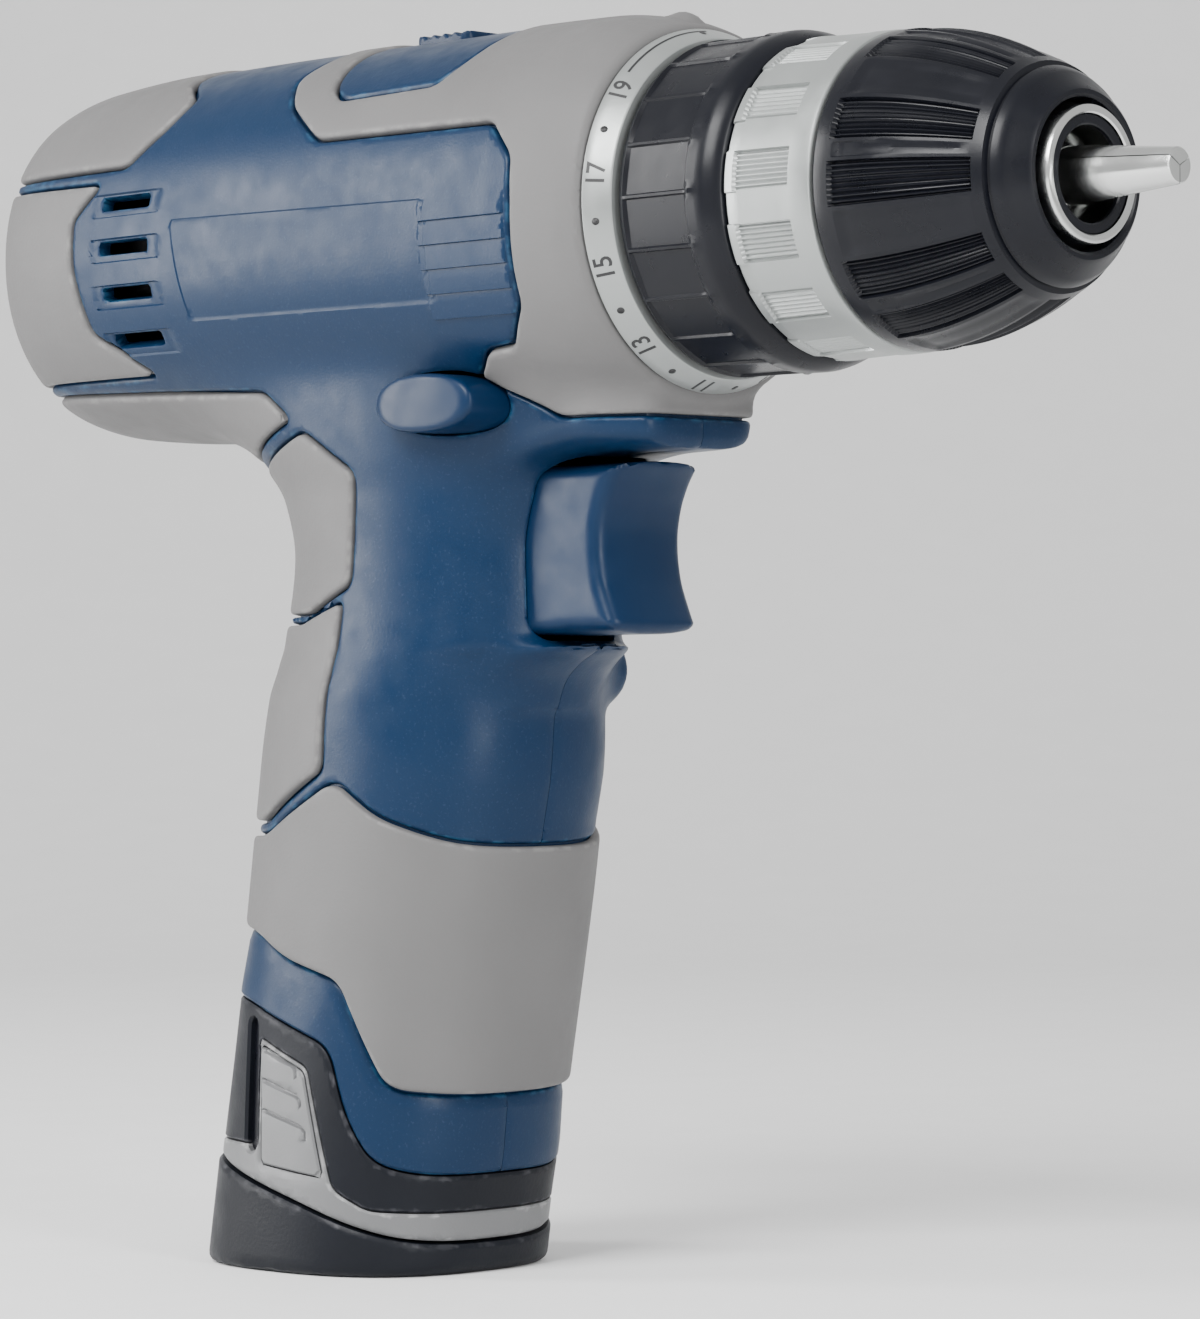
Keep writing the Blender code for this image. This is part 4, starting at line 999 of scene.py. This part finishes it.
def build_scale():
    """Numbers and dots round the scale ring, read from the tool's right side."""
    slope = (25.3 - 23.73) / (72.3 - 68.9)
    radius = lambda x: 25.3 - slope * (x - 68.9)

    def wrap(flat, angle, at):
        x = at - flat[:, 1]
        turn = angle - flat[:, 0] / radius(x)
        r = radius(x) + flat[:, 2]
        return np.stack([x, -r * np.sin(turn), AXIS_Z + r * np.cos(turn)], 1)

    points, faces = [], []

    def add(flat, flat_faces, angle, at):
        base = sum(len(p) for p in points)
        points.append(wrap(flat, angle, at))
        faces.extend([[v + base for v in face] for face in flat_faces])

    for step in range(22):
        angle = math.radians(52 + 15 * step)
        if step % 2 == 0 and step < 19:
            text = bpy.data.curves.new("digits", "FONT")
            text.body = str(19 - step)
            text.size = 3.5
            text.align_x, text.align_y = "CENTER", "CENTER"
            text.extrude = 0.03
            text.offset = 0.045
            text.resolution_u = 3
            holder = bpy.data.objects.new("digits", text)
            mesh = bpy.data.meshes.new_from_object(holder)
            flat = np.array([v.co for v in mesh.vertices], float)
            add(flat, [list(p.vertices) for p in mesh.polygons], angle, 70.55)
            bpy.data.objects.remove(holder)
            bpy.data.meshes.remove(mesh)
        elif step % 2:
            ring = np.radians(np.arange(0, 360, 22.5))
            disc = np.array([(0.5 * math.cos(a), 0.5 * math.sin(a), h) for h in (0.03, -0.03) for a in ring])
            count = len(ring)
            flat_faces = [list(range(count))] + [(i, i + count, (i + 1) % count + count, (i + 1) % count)
                                                for i in range(count)]
            add(disc, flat_faces, angle, 70.45)
    arc = np.radians(np.linspace(4, 44, 24))
    strip = [(a, 69.9 + s * 0.16) for s in (-1, 1) for a in arc]
    base, count = sum(len(p) for p in points), len(arc)
    points.append(np.array([(x, -(radius(x) + 0.03) * math.sin(a), AXIS_Z + (radius(x) + 0.03) * math.cos(a))
                            for a, x in strip]))
    faces.extend([(base + i, base + i + 1, base + i + count + 1, base + i + count) for i in range(count - 1)])
    new_object("scale_numbers", np.concatenate(points), faces, INK, "torque_collar", (),
               180)


# --- stage ----------------------------------------------------------------------------------
def build_stage():
    mesh = bpy.data.meshes.new("floor")
    near, far, height, steps = -1.5, 1.6, 2.2, 16
    rows = [(near, 0.0)] + [(far - 0.8 + 0.8 * math.sin(t), 0.8 - 0.8 * math.cos(t))
                            for t in np.linspace(0, math.pi / 2, steps)] + [(far, height)]
    points = [(side * 3.0, depth, z) for depth, z in rows for side in (-1, 1)]
    faces = [(2 * i, 2 * i + 1, 2 * i + 3, 2 * i + 2) for i in range(len(rows) - 1)]
    mesh.from_pydata(points, [], faces)
    mesh.polygons.foreach_set("use_smooth", [True] * len(mesh.polygons))
    mesh.materials.append(material("studio_floor", (0.86, 0.86, 0.86), 0.75, mottle=0.01, grain=0.02))
    floor = bpy.data.objects.new("floor", mesh)
    floor.rotation_euler = (0, 0, math.radians(43))
    bpy.context.scene.collection.objects.link(floor)
    world = bpy.data.worlds.new("studio")
    world.use_nodes = True
    world.node_tree.nodes["Background"].inputs["Color"].default_value = (1, 1, 1, 1)
    world.node_tree.nodes["Background"].inputs["Strength"].default_value = 0.75
    bpy.context.scene.world = world


def area_light(name, place, target, size, power):
    light = bpy.data.lights.new(name, "AREA")
    light.shape = "RECTANGLE"
    light.size, light.size_y = size
    light.energy = power
    ob = bpy.data.objects.new(name, light)
    ob.location = place
    ob.rotation_euler = (Vector(target) - Vector(place)).to_track_quat("-Z", "Y").to_euler()
    bpy.context.scene.collection.objects.link(ob)


def build_lights():
    middle = (0.02, 0, 0.1)
    area_light("key", (0.15, -0.75, 0.75), middle, (0.5, 0.5), 16)
    area_light("side", (-0.7, -0.6, 0.25), middle, (0.25, 0.8), 12)
    area_light("nose", (0.95, -0.2, 0.35), middle, (0.2, 0.7), 7)


def build_camera():
    camera = bpy.data.cameras.new("camera")
    camera.sensor_fit = "HORIZONTAL"
    camera.sensor_width = 36
    camera.lens = 150
    ob = bpy.data.objects.new("camera", camera)
    place = Vector((0.5438, -0.5056, 0.0835))
    ahead = Vector((-0.701, 0.713, 0.007)).normalized()
    right = Vector((0.713, 0.701, -0.007)).normalized()
    up = right.cross(ahead).normalized()
    right = ahead.cross(up)
    turn = Matrix((right, up, -ahead)).transposed().to_4x4()
    ob.matrix_world = Matrix.Translation(place) @ turn
    bpy.context.scene.collection.objects.link(ob)
    bpy.context.scene.camera = ob


build_camera()
build_stage()
build_lights()
dress_cad()
build_skin()
build_insert()
build_trigger()
build_button()
build_selector()
build_turned()
build_jaws()
build_scale()

bpy.context.view_layer.update()
